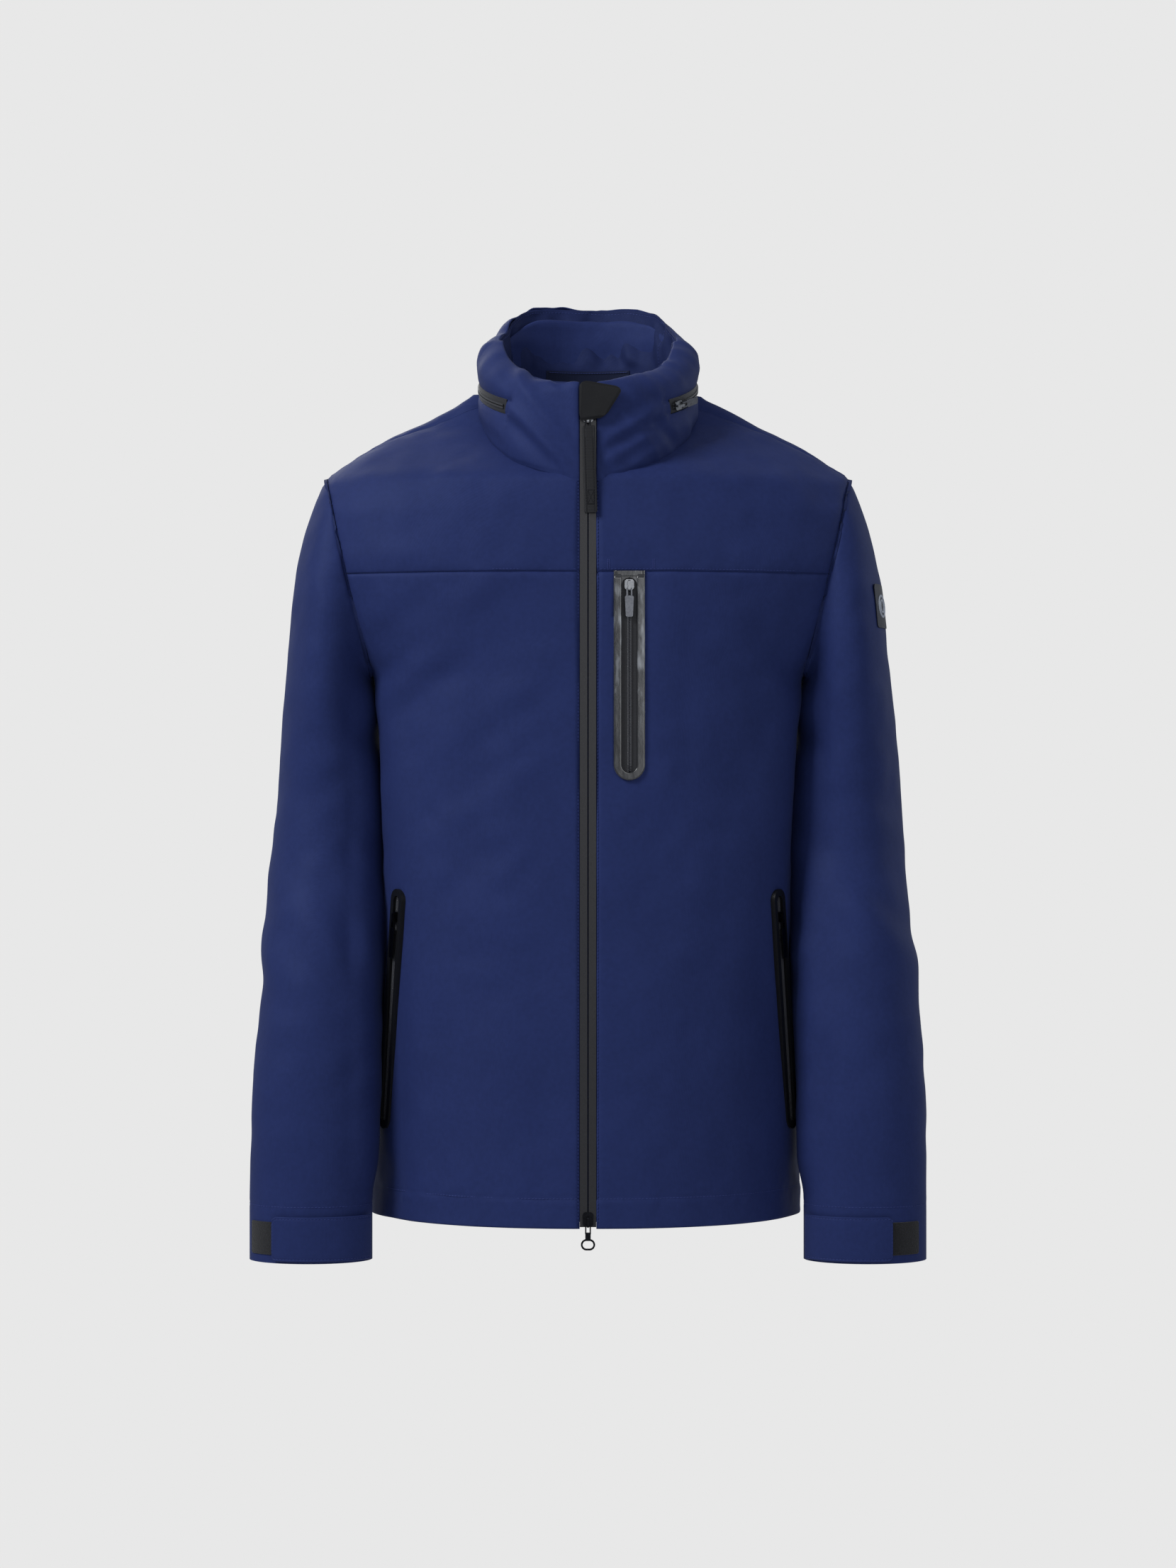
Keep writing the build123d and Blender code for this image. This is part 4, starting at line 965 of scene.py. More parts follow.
def make_torso():
    """Front panels, yokes and back panel."""
    low = near((HEM_STITCH_Z, HEM_Z, YOKE_Z), HEM_Z, YOKE_Z, CLOTH_STEP)
    high = near((YOKE_Z,), YOKE_Z, -100, CLOTH_STEP)[:-1]
    high = np.concatenate([high, stepped(-100, (-60, 2.2), (6, 1.5))])
    front_edge = lambda z: turn_of_x(FRONT_GAP, z)
    for part, heights in (("front_panel", low), ("yoke", high)):
        patch = torso_patch(f"{part}_cloth_left", heights, front_edge, turn_of_seam, 84)
        twin = mirror_copy(patch, f"{part}_cloth_right")
        for cloth, side in ((patch, "left"), (twin, "right")):
            edit(cloth, lambda bm: delete_faces(bm, in_pocket))
            cut_torso(cloth)
            finish_cloth(cloth, "torso", f"{part}_{side}")
    heights = np.concatenate([low, high[1:]])
    back = torso_patch("back_panel_cloth", heights, turn_of_seam, lambda z: pi - turn_of_seam(z), 170)
    cut_torso(back)
    finish_cloth(back, "torso", "back_panel")


make_torso()


# ---------------------------------------------------------------- the sleeves
def share_at(z):
    """The share of the sleeve's length at which its middle is at height z."""
    return float(np.interp(-z, -SLEEVE_PATH[:, 1], SLEEVE_REACH)) / SLEEVE_LENGTH


def sleeve_tube(name, columns=104):
    """The whole of the wearer's left sleeve as an open tube."""
    split, length = share_at(SPLIT_Z), SLEEVE_LENGTH
    shares = np.concatenate([[0, 1.5 / length], np.linspace(4 / length, split, 100),
                             np.linspace(split, 1 - 6 / length, 98)[1:],
                             [1 - 3 / length, 1 - 1.2 / length, 1]])
    turn = np.linspace(0, 2 * pi, columns + 1)[None, :] + 0 * shares[:, None]
    points = sleeve_ring(turn, shares[:, None] + 0 * turn)
    radial = points[0] - ARM_MIDDLE
    radial /= np.linalg.norm(radial, axis=-1, keepdims=True)
    tucked = [points[0] - back * ARM_OUT - down * radial for back, down in ((7, 3.0), (3.5, 2.2), (1, 1.0))]
    points = np.concatenate([np.stack(tucked), points])
    made = new_mesh(name, points.reshape(-1, 3), grid_faces(len(points), columns + 1))
    edit(made, lambda bm: bmesh.ops.remove_doubles(bm, verts=bm.verts, dist=1e-5))
    face_out(made, (CUFF_X, CUFF_Y / 2 - 20, 0))
    return made


def make_sleeves():
    """Both sleeves, each cut into an upper and a lower piece at the elbow."""
    left_tube = sleeve_tube("sleeve_left")
    for side, sign, tube in (("left", 1, left_tube), ("right", -1, mirror_copy(left_tube, "sleeve_right"))):
        push(tube, sleeve_folds)
        upper, lower = (copy_piece(tube, f"{part}_sleeve_cloth_{side}") for part in ("upper", "lower"))
        edit(upper, lambda bm: delete_faces(bm, lambda p: p[:, 2] < SPLIT_Z))
        edit(lower, lambda bm: delete_faces(bm, lambda p: p[:, 2] > SPLIT_Z))
        finish_cloth(upper, None, f"upper_sleeve_{side}")
        finish_cloth(lower, None, f"lower_sleeve_{side}")
        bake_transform(upper)
        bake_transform(lower)
        bpy.data.objects.remove(tube)


make_sleeves()


# ---------------------------------------------------------------- the collar's pieces
COLLAR_EDGE = np.arcsin(FRONT_GAP / 90)  # where the collar's front edge is, as a turn


def collar_patch(name, stations):
    """A sheet of the collar from one front edge round to the other, through these places on its section."""
    near_edge, far_edge = COLLAR_EDGE, 2 * pi - COLLAR_EDGE
    between = np.linspace(near_edge + 0.03, far_edge - 0.03, 200)
    turns = np.concatenate([[near_edge, near_edge + 0.012], between, [far_edge - 0.012, far_edge]])
    turn = turns[None, :] + 0 * stations[:, None]
    points = collar_profile(turn, stations[:, None] + 0 * turn)
    made = new_mesh(name, points.reshape(-1, 3), grid_faces(len(stations), len(turns)))
    face_out(made, COLLAR_AXIS)
    return made


def open_slot(bm):
    """Cuts the slot for the hood's zip out of the collar's outer face."""
    def near_ring(p):
        below_rim = p[:, 2] < collar_rim(collar_turn(p)) - 10
        return (np.abs(above_ring(p)) < 14) & below_rim

    def in_slot(p):
        return np.abs(above_ring(p)) < HOOD_SLOT

    for offset in (-HOOD_SLOT, HOOD_SLOT):
        slice_at(bm, RING_ORIGIN + RING_NORMAL * offset, RING_NORMAL, near_ring)
    for angle, side in ((HOOD_START, 1), (HOOD_END, -1)):
        across = np.array((cos(radians(angle)), 0, 0)) + RING_BACK * sin(radians(angle))
        slice_at(bm, RING_ORIGIN, across, lambda p: in_slot(p) & (p[:, 0] * side > 0) & (p[:, 1] < -60))
    delete_faces(bm, lambda p: in_slot(p) & (ring_angle(p) > HOOD_START) & (ring_angle(p) < HOOD_END))


def make_collar():
    """The collar's outer face with its roll, and the lining."""
    stations = np.concatenate([np.linspace(0, 1, 36), np.linspace(1.06, 2, 16)])
    outer = collar_patch("collar_outer_cloth", stations)
    edit(outer, open_slot)
    push(outer, collar_folds)
    thicken(outer, 1.3)
    finish_piece(outer, "torso", "shell_fabric", "collar_outer")
    lining = collar_patch("collar_lining_cloth", np.linspace(2.001, 3, 40))
    lining.data.flip_normals()
    push(lining, lining_folds)
    thicken(lining, 1.0)
    finish_piece(lining, "torso", "lining_fabric", "collar_lining")


make_collar()


# ---------------------------------------------------------------- rows of stitches
STITCHES = {}  # body and material: lists of places, directions along and directions out


def stitch(body, places, out, step=3.0, material="thread"):
    """Adds a row of stitches along a line of points on a body."""
    STITCHES.setdefault((body, material), []).append(row_along(places, out, step))


def make_stitches():
    """One mesh of stitches for each body and thread."""
    for (body, material), rows in STITCHES.items():
        places, along, out = (np.concatenate([row[k] for row in rows]) for k in range(3))
        made = beads(f"stitches_{body}_{material}", places, along, out, (1.15, 0.28, 0.24))
        finish_piece(made, body, "shell_fabric", material=material)


def both_sides(places, out):
    """A row on the wearer's left and the same one mirrored."""
    yield places, out
    yield places * (-1, 1, 1), out * (-1, 1, 1)


def torso_row(turn, z):
    """A row of stitches on the torso's folded cloth."""
    return on_sheet(torso_ring, turn, z, torso_folds, TORSO_AXIS)


def stitch_torso():
    """The rows beside the front edges, above the yoke seam and round the hem, and the chest pocket's tacks."""
    z = np.linspace(-8, -704, 300)
    rows = [torso_row(turn_of_x(8.3, z), z)]
    x = np.linspace(10, 178, 90)
    z = np.full(x.shape, YOKE_Z + 2.2)
    rows.append(torso_row(turn_of_x(x, z), z))
    turn = np.linspace(turn_of_x(9.0, HEM_STITCH_Z), pi / 2, 200)
    rows.append(torso_row(turn, np.full(turn.shape, HEM_STITCH_Z)))
    for places, out in rows:
        for row in both_sides(places, out):
            stitch("torso", *row)
    for x in (17.4, 55.6):
        z = np.linspace(-144.5, -153.0, 8)
        for offset in (-0.6, 0.6):
            places, out = torso_row(turn_of_x(x + offset + 0 * z, z), z)
            stitch("torso", places, out, 1.6)


def stitch_collar():
    """The row below the collar's rim, inside."""
    turn = np.linspace(COLLAR_EDGE + 0.06, 2 * pi - COLLAR_EDGE - 0.06, 260)
    drop = (RIM_STITCH - 1.0) / (collar_rim(turn) - 3.0 - collar_foot(turn))
    places, out = on_sheet(collar_profile, turn, 2 + drop, lining_folds, COLLAR_AXIS, inwards=True)
    stitch("torso", places, out)
    drop = np.linspace(0.08, 0.8, 60)
    for half in (64.0, -64.0):
        turn = pi - np.arcsin(half / LINING_HALF) + 0 * drop
        places, out = on_sheet(collar_profile, turn, 2 + drop, lining_folds, COLLAR_AXIS, inwards=True)
        stitch("torso", places, out)


def stitch_cuffs():
    """The row round each sleeve at the top of the cuff's facing."""
    turn = np.linspace(0, 2 * pi, 200)
    share = share_at(CUFF_STITCH_Z) + 0 * turn
    places, out = on_sheet(sleeve_ring, turn, share, sleeve_folds, (CUFF_X, CUFF_Y, 0))
    for side, row in zip(("left", "right"), both_sides(places, out)):
        stitch(f"lower_sleeve_{side}", *row)


# ---------------------------------------------------------------- the cuffs' tabs and patches
def cuff_arc(start, end, lift, count):
    """Points round the cuff at mid height of the tab, and the directions out, for the wearer's left."""
    a = radians(start) + (radians(end) - radians(start)) * spread(count)
    out = np.column_stack([-np.cos(a) / CUFF_RX, -np.sin(a) / CUFF_RY, 0 * a])
    out /= np.linalg.norm(out, axis=1, keepdims=True)
    middle = (TAB_LOW + TAB_HIGH) / 2
    on = np.column_stack([CUFF_X - CUFF_RX * np.cos(a), CUFF_Y - CUFF_RY * np.sin(a), middle + 0 * a])
    return on + out * lift, out


def make_cuff_tabs():
    """The stitched tabs round the cuffs with their hook patches, and the loop patches below them."""
    half = (TAB_HIGH - TAB_LOW) / 2
    for side, sign in (("left", 1), ("right", -1)):
        flip = np.array((sign, 1, 1))
        end = TAB_END[side]
        line, out = cuff_arc(TAB_ROOT, end, 2.85, 70)
        tab = ribbon(f"cuff_tab_cloth_{side}", line * flip, out * flip, half, 1.5, (0, 5), 0.35)
        body = f"cuff_tab_{side}"
        finish_piece(tab, body, "shell_fabric", body)
        _, across, up = strap_frame(line, out)
        kept = slice(3, -5)
        for offset in (STRAP_STITCH - half, half - STRAP_STITCH):
            row = line[kept] + across[kept] * offset + up[kept] * 0.55
            stitch(body, row * flip, up[kept] * flip)
        z = np.linspace(-half + 3, half - 3, 20)
        for index in (5, -5):
            row = line[index] + across[index] * z[:, None] + up[index] * 0.6
            stitch(body, row * flip, (up[index] + 0 * row) * flip)
        for name, reach, lift, owner in (("tab_hook_patch", (-48, -4), 1.7, body),
                                         ("cuff_loop_patch", (-46, 34), 0.55, f"lower_sleeve_{side}")):
            line, out = cuff_arc(end + reach[0], end + reach[1], lift, 50)
            patch = ribbon(f"{name}_nap_{side}", line * flip, out * flip, 14, 0.8, (2, 2), 0.15)
            finish_piece(patch, owner, "hook_and_loop", f"{name}_{side}")


# ---------------------------------------------------------------- guard, webbing, labels and loop
FRONT_UP = np.array((0, FRONT_SLOPE, 1)) / sqrt(1 + FRONT_SLOPE**2)
FRONT_OUT = np.array((0, -1, FRONT_SLOPE)) / sqrt(1 + FRONT_SLOPE**2)


def on_front(x, z, out):
    """Points on planes parallel to the front zip, at x and height z and out from the fabric's face."""
    x, z, out = np.broadcast_arrays(np.asarray(x, float), z, out)
    return np.stack([x, front_y(z), z], -1) + FRONT_OUT * out[..., None]


def rounded_square(count, corner):
    """A grid over the square from 0 to 1 with its corners rounded."""
    w, h = np.meshgrid(2 * spread(count) - 1, 2 * spread(count) - 1)
    a, b = np.maximum(np.abs(w) - 1 + corner, 0) / corner, np.maximum(np.abs(h) - 1 + corner, 0) / corner
    w = np.where(a > 0, np.sign(w) * (1 - corner + corner * a * np.sqrt(1 - b**2 / 2)), w)
    h = np.where(b > 0, np.sign(h) * (1 - corner + corner * b * np.sqrt(1 - a**2 / 2)), h)
    return (w + 1) / 2, (h + 1) / 2


GUARD_CORNERS = ((-7.5, 8.0), (30.5, 1.5), (14.5, -24.0), (-7.5, -27.5))  # x and z


def make_guard():
    """The smooth flap folded over the top of the zip, its right edge lying down on the collar."""
    w, h = rounded_square(34, 0.42)
    a, b, c, d = (np.array(corner) for corner in GUARD_CORNERS)
    flat = ((1 - h)[..., None] * ((1 - w)[..., None] * a + w[..., None] * b)
            + h[..., None] * ((1 - w)[..., None] * d + w[..., None] * c))
    rim = np.minimum(np.minimum(w, 1 - w), np.minimum(h, 1 - h))
    lift = 5.9 - 1.6 * ramp(0.35, 1.0, w) - 0.5 * ramp(0.08, 0, rim) + 0.35 * np.sin(3 * h + 2 * w)
    points = on_front(flat[..., 0], flat[..., 1], lift)
    guard = new_mesh("chin_guard_flap", points.reshape(-1, 3), grid_faces(34, 34))
    face_out(guard, (0, 0, 0))
    thicken(guard, 1.1)
    finish_piece(guard, "torso", "guard_fabric", "chin_guard")


def make_webbing():
    """The ribbed pull that hides the link, with a crossed box of stitches near its end."""
    half, lift = 5.25, 2.9
    z = -31.0 - 74.0 * spread(60)
    line = on_front(0.6 + 2.0 * spread(60), z, lift)
    out = FRONT_OUT + 0 * line
    strap = ribbon("top_pull_strap", line, out, half, 1.8, (1.0, 1.2), 0.25)
    finish_piece(strap, "top_pull", "webbing", "top_pull_webbing")
    _, across, up = strap_frame(line, out)
    for offset in (STRAP_STITCH - half, half - STRAP_STITCH):
        stitch("top_pull", (line + across * offset + up * 0.75)[14:-4], up[14:-4], 2.2, "dark_thread")
    corners = ((-2.6, -86), (2.6, -86), (2.6, -98), (-2.6, -98))
    order = (0, 1, 2, 3, 0, 2, 3, 1)
    for first, last in zip(order, order[1:]):
        (x0, z0), (x1, z1) = corners[first], corners[last]
        t = np.linspace(0, 1, 12)
        row = on_front(2.3 + x0 + (x1 - x0) * t, z0 + (z1 - z0) * t, lift + 0.9)
        stitch("top_pull", row, FRONT_OUT + 0 * row, 1.7, "dark_thread")


def make_neck_label():
    """The dark blank label in the back of the collar, sewn on along its top, with two short pale marks."""
    x, z = np.meshgrid(np.linspace(-38, 38, 60), np.linspace(33, 9, 22))
    turn = pi - np.arcsin(x / LINING_HALF)
    drape = 0.5 + 0.4 * ramp(28, 9, z) * (1 + noise(np.stack([x, 0 * x, z], -1), 16, seed=31))
    points = collar_wall(turn, z, COLLAR_THICK + drape)
    label = new_mesh("neck_label_cloth", points.reshape(-1, 3), grid_faces(22, 60))
    face_out(label, COLLAR_AXIS)
    label.data.flip_normals()
    thicken(label, 0.5)
    finish_piece(label, "torso", "label", "neck_label", material="neck_cloth")
    for height, first, last in ((31.5, -36, 36), (21.5, 29, 35), (17.5, 29, 35)):
        x = np.linspace(first, last, 40)
        wall = lambda u, v: collar_wall(u, v, COLLAR_THICK + 1.3)
        places, out = on_sheet(wall, pi - np.arcsin(x / LINING_HALF), height + 0 * x, lambda p: 0 * p[:, 0],
                               COLLAR_AXIS, inwards=True)
        stitch("torso", places, out, 2.4, "thread" if first < 0 else "pale_thread")


def make_hang_loop():
    """The loop of tape at the back of the neck, standing off the lining in its middle."""
    x = 32 - 64 * np.linspace(0, 1, 70)
    y = -3.9 - 5.2 * ramp(31, 9, np.abs(x)) - 0.75
    line = np.column_stack([x, y, 0.25 * np.sin(x / 9)])
    loop = ribbon("hang_loop_strap", line, np.array((0, -1.0, 0)) + 0 * line, 5.0, 1.4, (0.6, 0.6), 0.2)
    finish_piece(loop, "torso", "webbing", "hang_loop")


def hand_frame():
    """The middle, the way up, across and out at a hand pocket."""
    up = (HAND_TOP - HAND_LOW) / np.linalg.norm(HAND_TOP - HAND_LOW)
    out = np.array((0.856, -0.517, 0))
    out -= up * (out @ up)
    out /= np.linalg.norm(out)
    return (HAND_TOP + HAND_LOW) / 2, up, np.cross(up, out), out


def make_side_label():
    """The small blank label sewn into the side seam on the wearer's right."""
    middle, up, across, out = hand_frame()
    flip = np.array((-1, 1, 1))
    t = spread(30)[:, None]
    line = middle + across * 16 + up * (-106 + 46 * t) + out * (1.0 + 0.5 * np.sin(4 * t))
    tag = ribbon("side_label_tag", line * flip, (out + 0 * line) * flip, 5, 0.7, (0.5, 0.5), 0.1)
    finish_piece(tag, "torso", "label", "side_label")


def make_badge():
    """The emblem patch on the left sleeve: a rounded patch with a plain raised mark."""
    facing = np.array((0.68, -0.733, 0)) / np.hypot(0.68, 0.733)
    across = np.array((-facing[1], facing[0], 0))
    middle = np.array((254.0, -95.0, -181.0))
    w, h = rounded_square(30, 0.2)

    def laid(w, h, lift):
        """Points of the patch dropped onto the sleeve's folds."""
        flat = middle + across * (30 * (w - 0.5))[..., None]
        flat = flat + np.array((0, 0, 1)) * (38 * (0.5 - h))[..., None]
        low, high = np.full(w.shape, -30.0), np.full(w.shape, 30.0)
        for _ in range(24):
            mid = (low + high) / 2
            inside = in_sleeve(flat + facing * mid[..., None])
            low, high = np.where(inside, mid, low), np.where(inside, high, mid)
        at = flat + facing * low[..., None]
        folds = np.maximum(sleeve_folds(at.reshape(-1, 3)).reshape(w.shape), 0)
        return at + facing * (folds + lift)[..., None]

    patch = new_mesh("sleeve_badge_patch", laid(w, h, 1.2).reshape(-1, 3), grid_faces(30, 30))
    face_out(patch, (230, -60, 0))
    thicken(patch, 0.9)
    finish_piece(patch, "upper_sleeve_left", "badge", "sleeve_badge")
    for scale, width in ((0.3, 1.0), (0.17, 0.8)):
        a = np.linspace(0, 2 * pi, 60)
        line = laid(0.5 + scale * np.cos(a), 0.5 + 0.8 * scale * np.sin(a), 1.5)
        mark = ribbon(f"sleeve_badge_ring_{round(scale * 100)}", line, facing + 0 * line, width, 0.6)
        finish_piece(mark, "upper_sleeve_left", "badge", material="badge_mark")


def in_sleeve(p):
    """True for points inside the upper part of the left sleeve's sections."""
    share = np.clip(np.interp(-p[..., 2], -SLEEVE_PATH[:, 1], SLEEVE_REACH) / SLEEVE_LENGTH, 0, 1)
    for _ in range(3):
        inner_x, inner_z, outer_x, outer_z, y, depth = sleeve_centres(share)
        middle = np.stack([(inner_x + outer_x) / 2, (inner_z + outer_z) / 2], -1)
        half = np.stack([(outer_x - inner_x) / 2, (outer_z - inner_z) / 2], -1)
        length = np.linalg.norm(half, axis=-1)
        down = np.stack([half[..., 1], -half[..., 0]], -1) / length[..., None]
        off = np.stack([p[..., 0], p[..., 2]], -1) - middle
        share = np.clip(share + (off * down).sum(-1) / SLEEVE_LENGTH, 0, 1)
    across = (off * half).sum(-1) / length**2
    return across**2 + ((p[..., 1] - y) / depth) ** 2 < 1


# ---------------------------------------------------------------- hood, bags and facings
def make_packed_hood():
    """The rolled hood between the collar's faces: a long folded pad."""
    first = COLLAR_EDGE + radians(19)
    turn = np.linspace(first, 2 * pi - first, 150)[:, None]
    round_it = np.linspace(0, 2 * pi, 33)[None, :]
    foot, rim = collar_foot(turn), collar_rim(turn)
    low, high = foot + 8, rim - 12
    ends = np.sqrt(np.clip(np.minimum(turn - first, 2 * pi - first - turn) / 0.12, 0.02, 1))
    inset = 11.5 + 4.2 * np.cos(round_it) * ends
    z = (low + high) / 2 + (high - low) / 2 * np.sin(round_it) * (0.4 + 0.6 * ends)
    points = collar_wall(turn + 0 * z, z, inset)
    pad = new_mesh("packed_hood_pad", points.reshape(-1, 3), grid_faces(150, 33))
    edit(pad, lambda bm: bmesh.ops.remove_doubles(bm, verts=bm.verts, dist=1e-5))
    edit(pad, lambda bm: bmesh.ops.holes_fill(bm, edges=[e for e in bm.edges if e.is_boundary]))
    edit(pad, lambda bm: bmesh.ops.recalc_face_normals(bm, faces=bm.faces))
    push(pad, lambda p: 0.8 * noise(p, 60, 60, 9, seed=32) + 0.4 * noise(p, 12, seed=33))
    finish_piece(pad, "torso", "shell_fabric", "packed_hood")


def make_bag(name, x_range, z_range, mirror):
    """A flat pocket bag against the inside of a front panel, as a thin pillow with a sewn edge."""
    w, h = np.meshgrid(spread(40), spread(50))
    x, z = x_range[0] + (x_range[1] - x_range[0]) * w, z_range[0] + (z_range[1] - z_range[0]) * h
    base = torso_ring(turn_of_x(x, z), z)
    normal = torso_out(base)
    full = np.minimum(np.minimum(w, 1 - w), np.minimum(h, 1 - h))
    puffed = 1.1 * ramp(0, 0.12, full) + 0.15
    crease = 0.25 * noise(base, 18, seed=34)
    for layer, sign in (("front", 1), ("back", -1)):
        points = base - normal * (5.6 - sign * puffed + crease)[..., None]
        points = points * (-1, 1, 1) if mirror else points
        sheet = new_mesh(f"{name}_{layer}", points.reshape(-1, 3), grid_faces(50, 40))
        thicken(sheet, 0.3)
        finish_piece(sheet, "torso", "bag_mesh", *([name] if layer == "front" else []))


def make_facings():
    """The hem's facing and the cuffs' facings, turned up inside."""
    z = np.linspace(HEM_Z + 1, -669, 14)[:, None]
    start = turn_of_x(9.0, z)
    turn = start + (pi - 2 * start) * np.linspace(0, 1, 220)[None, :]
    points = torso_ring(turn, z + 0 * turn)
    points = points - torso_out(points) * 2.6
    facing = new_mesh("hem_facing_cloth", points.reshape(-1, 3), grid_faces(14, 220))
    face_out(facing, TORSO_AXIS)
    push(facing, torso_folds)
    thicken(facing, 0.6)
    finish_piece(facing, "torso", slot_of("hem_facing"), "hem_facing")
    z = np.linspace(CUFF_Z + 0.5, CUFF_Z + 40, 14)[:, None]
    a = np.linspace(0, 2 * pi, 90)[None, :]
    ring = np.stack(np.broadcast_arrays(CUFF_X - (CUFF_RX - 2.6) * np.cos(a),
                                        CUFF_Y - (CUFF_RY - 2.6) * np.sin(a), z), -1)
    for side, sign in (("left", 1), ("right", -1)):
        cuff = new_mesh(f"cuff_facing_cloth_{side}", (ring * (sign, 1, 1)).reshape(-1, 3), grid_faces(14, 90))
        face_out(cuff, (sign * CUFF_X, CUFF_Y, 0))
        thicken(cuff, 0.6)
        finish_piece(cuff, f"lower_sleeve_{side}", slot_of(f"cuff_facing_{side}"), f"cuff_facing_{side}")


# ---------------------------------------------------------------- the chest pocket's film and the zips' teeth
def make_chest_film():
    """The soft rolled film round the chest pocket's opening, square at its top."""
    half, top, low, lift = 9.7, CHEST_TOP - 3.4, CHEST_LOW + FRAME_ROUND, 0.85
    drop = np.linspace(top, low, 40)
    a = np.linspace(0, pi, 24)[1:-1]
    x = np.concatenate([half + 0 * drop, half * np.cos(a), -half + 0 * drop])
    z = np.concatenate([drop, low - half * np.sin(a), drop[::-1]])
    wave = 0.18 * np.sin(z / 7.0) * np.sin(z / 17.0)
    line = on_front(CHEST_X + x, z, lift + wave)
    film = ribbon("chest_pocket_film", line, FRONT_OUT + 0 * line, 3.1, 1.5)
    finish_piece(film, "torso", "welded_frame", material="soft_film")
    bar_x = np.linspace(-half - 2.4, half + 2.4, 14)
    line = on_front(CHEST_X + bar_x, CHEST_TOP - 2.6, lift)
    bar = ribbon("chest_pocket_film_top", line, FRONT_OUT + 0 * line, 2.4, 1.2)
    finish_piece(bar, "torso", "welded_frame", material="soft_film")


TOOTH_PITCH, TOOTH_HALF, TEETH_DEPTH = 1.3, 0.95, -0.15


def make_teeth(name, middle, up, across, out, length):
    """The teeth of a closed coil, as small bars that meet in the middle."""
    t = np.arange(-length / 2, length / 2, TOOTH_PITCH)
    rows = []
    for sign in (1, -1):
        along_zip = up * (t + TOOTH_PITCH / 4 * sign)[:, None]
        place = middle + along_zip + across * (TOOTH_HALF * sign) + out * TEETH_DEPTH
        rows.append((place, across * sign + 0 * place, out + 0 * place))
    places, along, facing = (np.concatenate([row[k] for row in rows]) for k in range(3))
    teeth = beads(name, places, along, facing, (TOOTH_HALF, 0.42, 0.42))
    finish_piece(teeth, "torso", "zip_teeth", material="coil")


# ---------------------------------------------------------------- hard parts carried over from the frame
BLACK = ("bottom_slider", "bottom_pull_ring", "hand_slider_left", "hand_slider_right",
         "hand_pull_left", "hand_pull_right", "top_pull_link")
NODE_MATERIALS = {"chest_pocket_frame": "soft_film", "front_zip_tape_left": "coated_tape",
                  "front_zip_tape_right": "coated_tape", **dict.fromkeys(BLACK, "black_metal")}
SOFT_EDGED = ("welded_frame", "slider_metal", "puller", "zip_tape")


def dress_hard_parts():
    """Gives the frame's own pieces their looks and rounds their edges a little."""
    for node, obj in frame["nodes"].items():
        slot = slot_of(node)
        obj.data.materials.clear()
        obj.data.materials.append(MATERIALS[NODE_MATERIALS.get(node, slot)])
        if slot in SOFT_EDGED:
            bevel = obj.modifiers.new("soft edges", "BEVEL")
            bevel.width, bevel.segments, bevel.angle_limit = 0.25 * MM, 2, radians(35)


dress_hard_parts()
make_chest_film()
make_cuff_tabs()
make_guard()
make_webbing()
make_neck_label()
make_hang_loop()
make_side_label()
make_badge()
make_packed_hood()
make_bag("chest_pocket_bag", (54.0, 150.0), (-330.0, -165.0), False)
make_bag("hand_pocket_bag_left", (62.0, 152.0), (-640.0, -440.0), False)
make_bag("hand_pocket_bag_right", (62.0, 152.0), (-640.0, -440.0), True)
make_facings()
chest_middle = on_front(CHEST_X, CHEST_MIDDLE, 0.0)
make_teeth("chest_zip_teeth", chest_middle, FRONT_UP, np.array((1.0, 0, 0)), FRONT_OUT, 162)
middle, up, across, out = hand_frame()
for side, flip in (("left", (1, 1, 1)), ("right", (-1, 1, 1))):
    make_teeth(f"hand_zip_teeth_{side}", middle * flip, up * flip, across * flip, out * flip,
               arc_length(np.array([HAND_TOP, HAND_LOW])) - 14)
stitch_torso()
stitch_collar()
stitch_cuffs()
make_stitches()


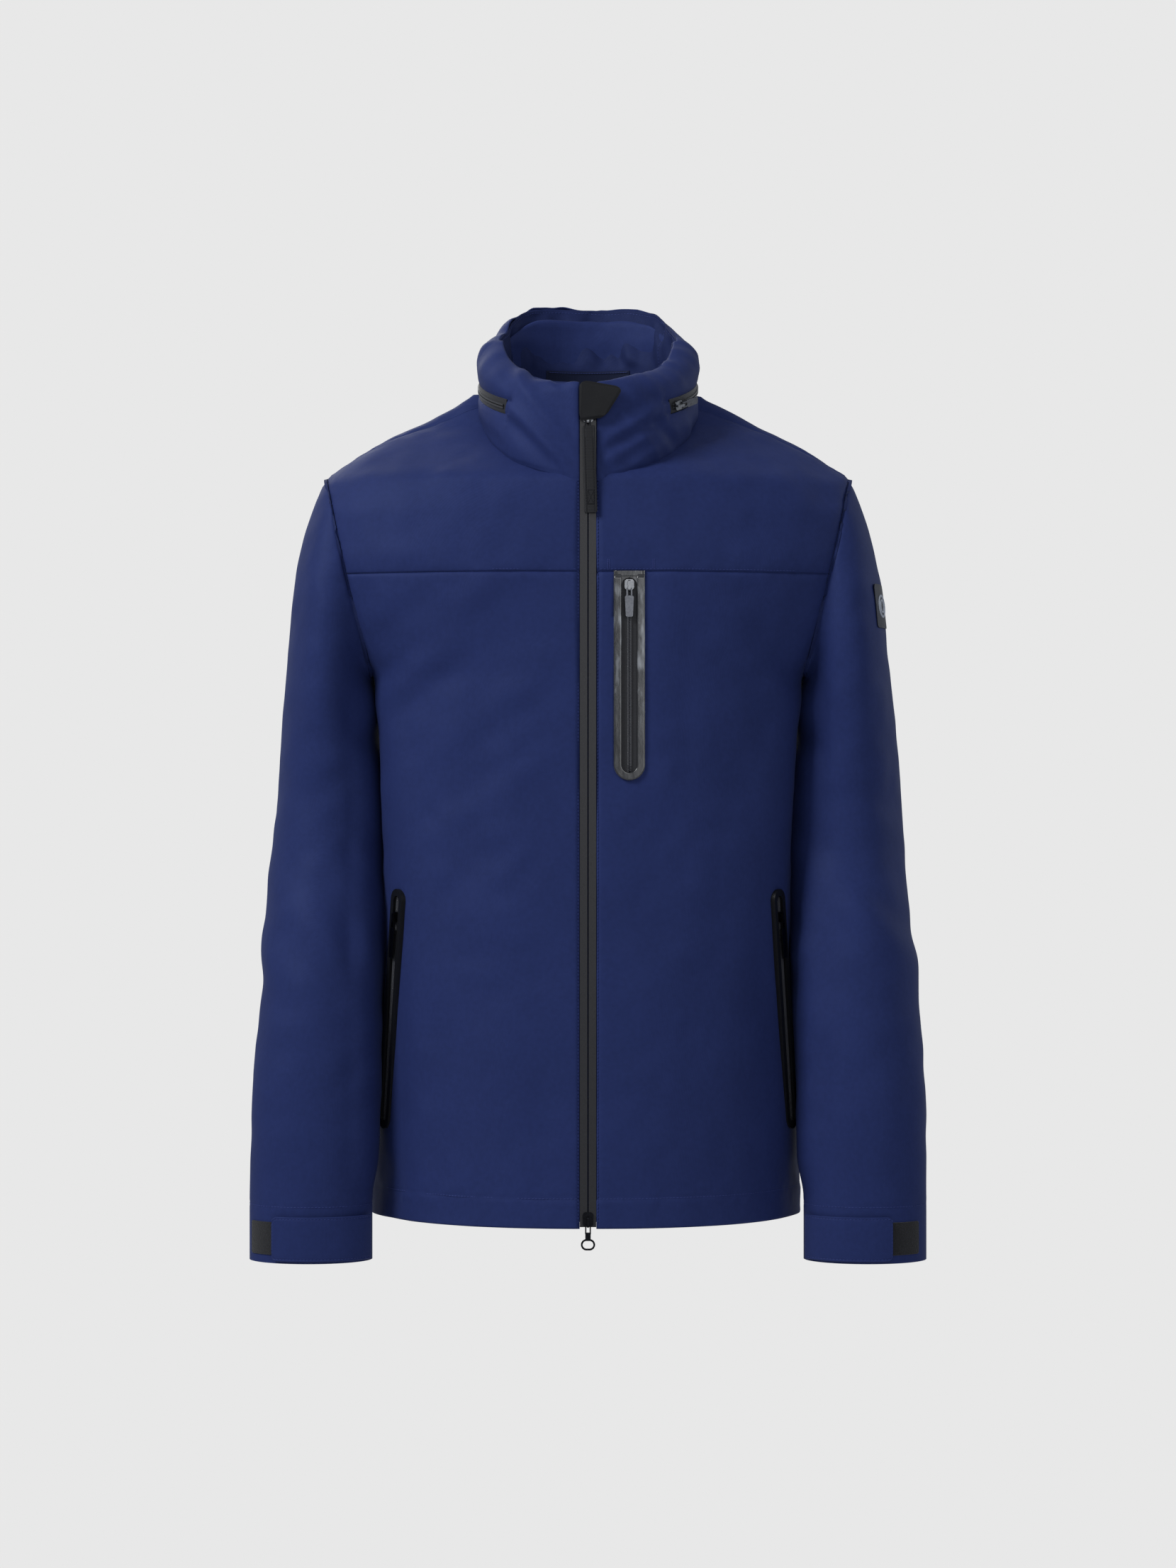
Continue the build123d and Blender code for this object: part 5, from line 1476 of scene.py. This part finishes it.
# ---------------------------------------------------------------- stage
def area_light(name, place, target, size, power, tint=(1, 1, 1)):
    """A square lamp that shines from place towards target."""
    data = bpy.data.lights.new(name, "AREA")
    data.size, data.energy, data.color = size, power, tint
    light = bpy.data.objects.new(name, data)
    bpy.context.scene.collection.objects.link(light)
    light.location = place
    light.rotation_euler = (Vector(target) - Vector(place)).to_track_quat("-Z", "Y").to_euler()


def make_stage():
    """Camera, soft light and a plain pale floor below the view."""
    scene = bpy.context.scene
    camera = bpy.data.objects.new("camera", bpy.data.cameras.new("camera"))
    scene.collection.objects.link(camera)
    camera.data.lens, camera.data.sensor_width = 85, 36
    camera.location = (0, -3.303, -0.335)
    camera.rotation_euler = (pi / 2, 0, 0)
    scene.camera = camera
    world = bpy.data.worlds.new("studio")
    scene.world = world
    world.use_nodes = True
    tree = world.node_tree
    seen = tree.nodes["Background"]
    seen.inputs["Color"].default_value = colour(232, 232, 232)
    lit = tree.nodes.new("ShaderNodeBackground")
    lit.inputs["Color"].default_value = (0.92, 0.95, 1.0, 1)
    lit.inputs["Strength"].default_value = 0.36
    path = tree.nodes.new("ShaderNodeLightPath")
    mix = tree.nodes.new("ShaderNodeMixShader")
    tree.links.new(path.outputs["Is Camera Ray"], mix.inputs["Fac"])
    tree.links.new(lit.outputs[0], mix.inputs[1])
    tree.links.new(seen.outputs[0], mix.inputs[2])
    tree.links.new(mix.outputs[0], tree.nodes["World Output"].inputs["Surface"])
    scene.view_settings.view_transform = "Standard"
    area_light("key", (-2.3, -1.6, 1.9), (-0.05, 0, -0.1), 1.1, 96, (0.97, 0.99, 1))
    area_light("fill", (1.0, -3.0, 0.8), (0, 0, -0.2), 2.0, 21, (0.97, 0.98, 1))
    area_light("edge", (2.2, 0.9, 0.6), (0.2, -0.1, -0.3), 1.0, 6, (0.8, 0.88, 1))
    area_light("back", (-1.0, 2.4, 1.4), (0, 0, -0.3), 1.6, 22)
    bpy.ops.mesh.primitive_circle_add(vertices=96, radius=1.5, fill_type="NGON", location=(0, 0, -1.45))
    floor = bpy.context.object
    floor.name = "floor"
    pale = Material("floor", 0.7)
    pale.shader.inputs["Base Color"].default_value = (0.75, 0.75, 0.75, 1)
    floor.data.materials.append(pale.made)


make_stage()
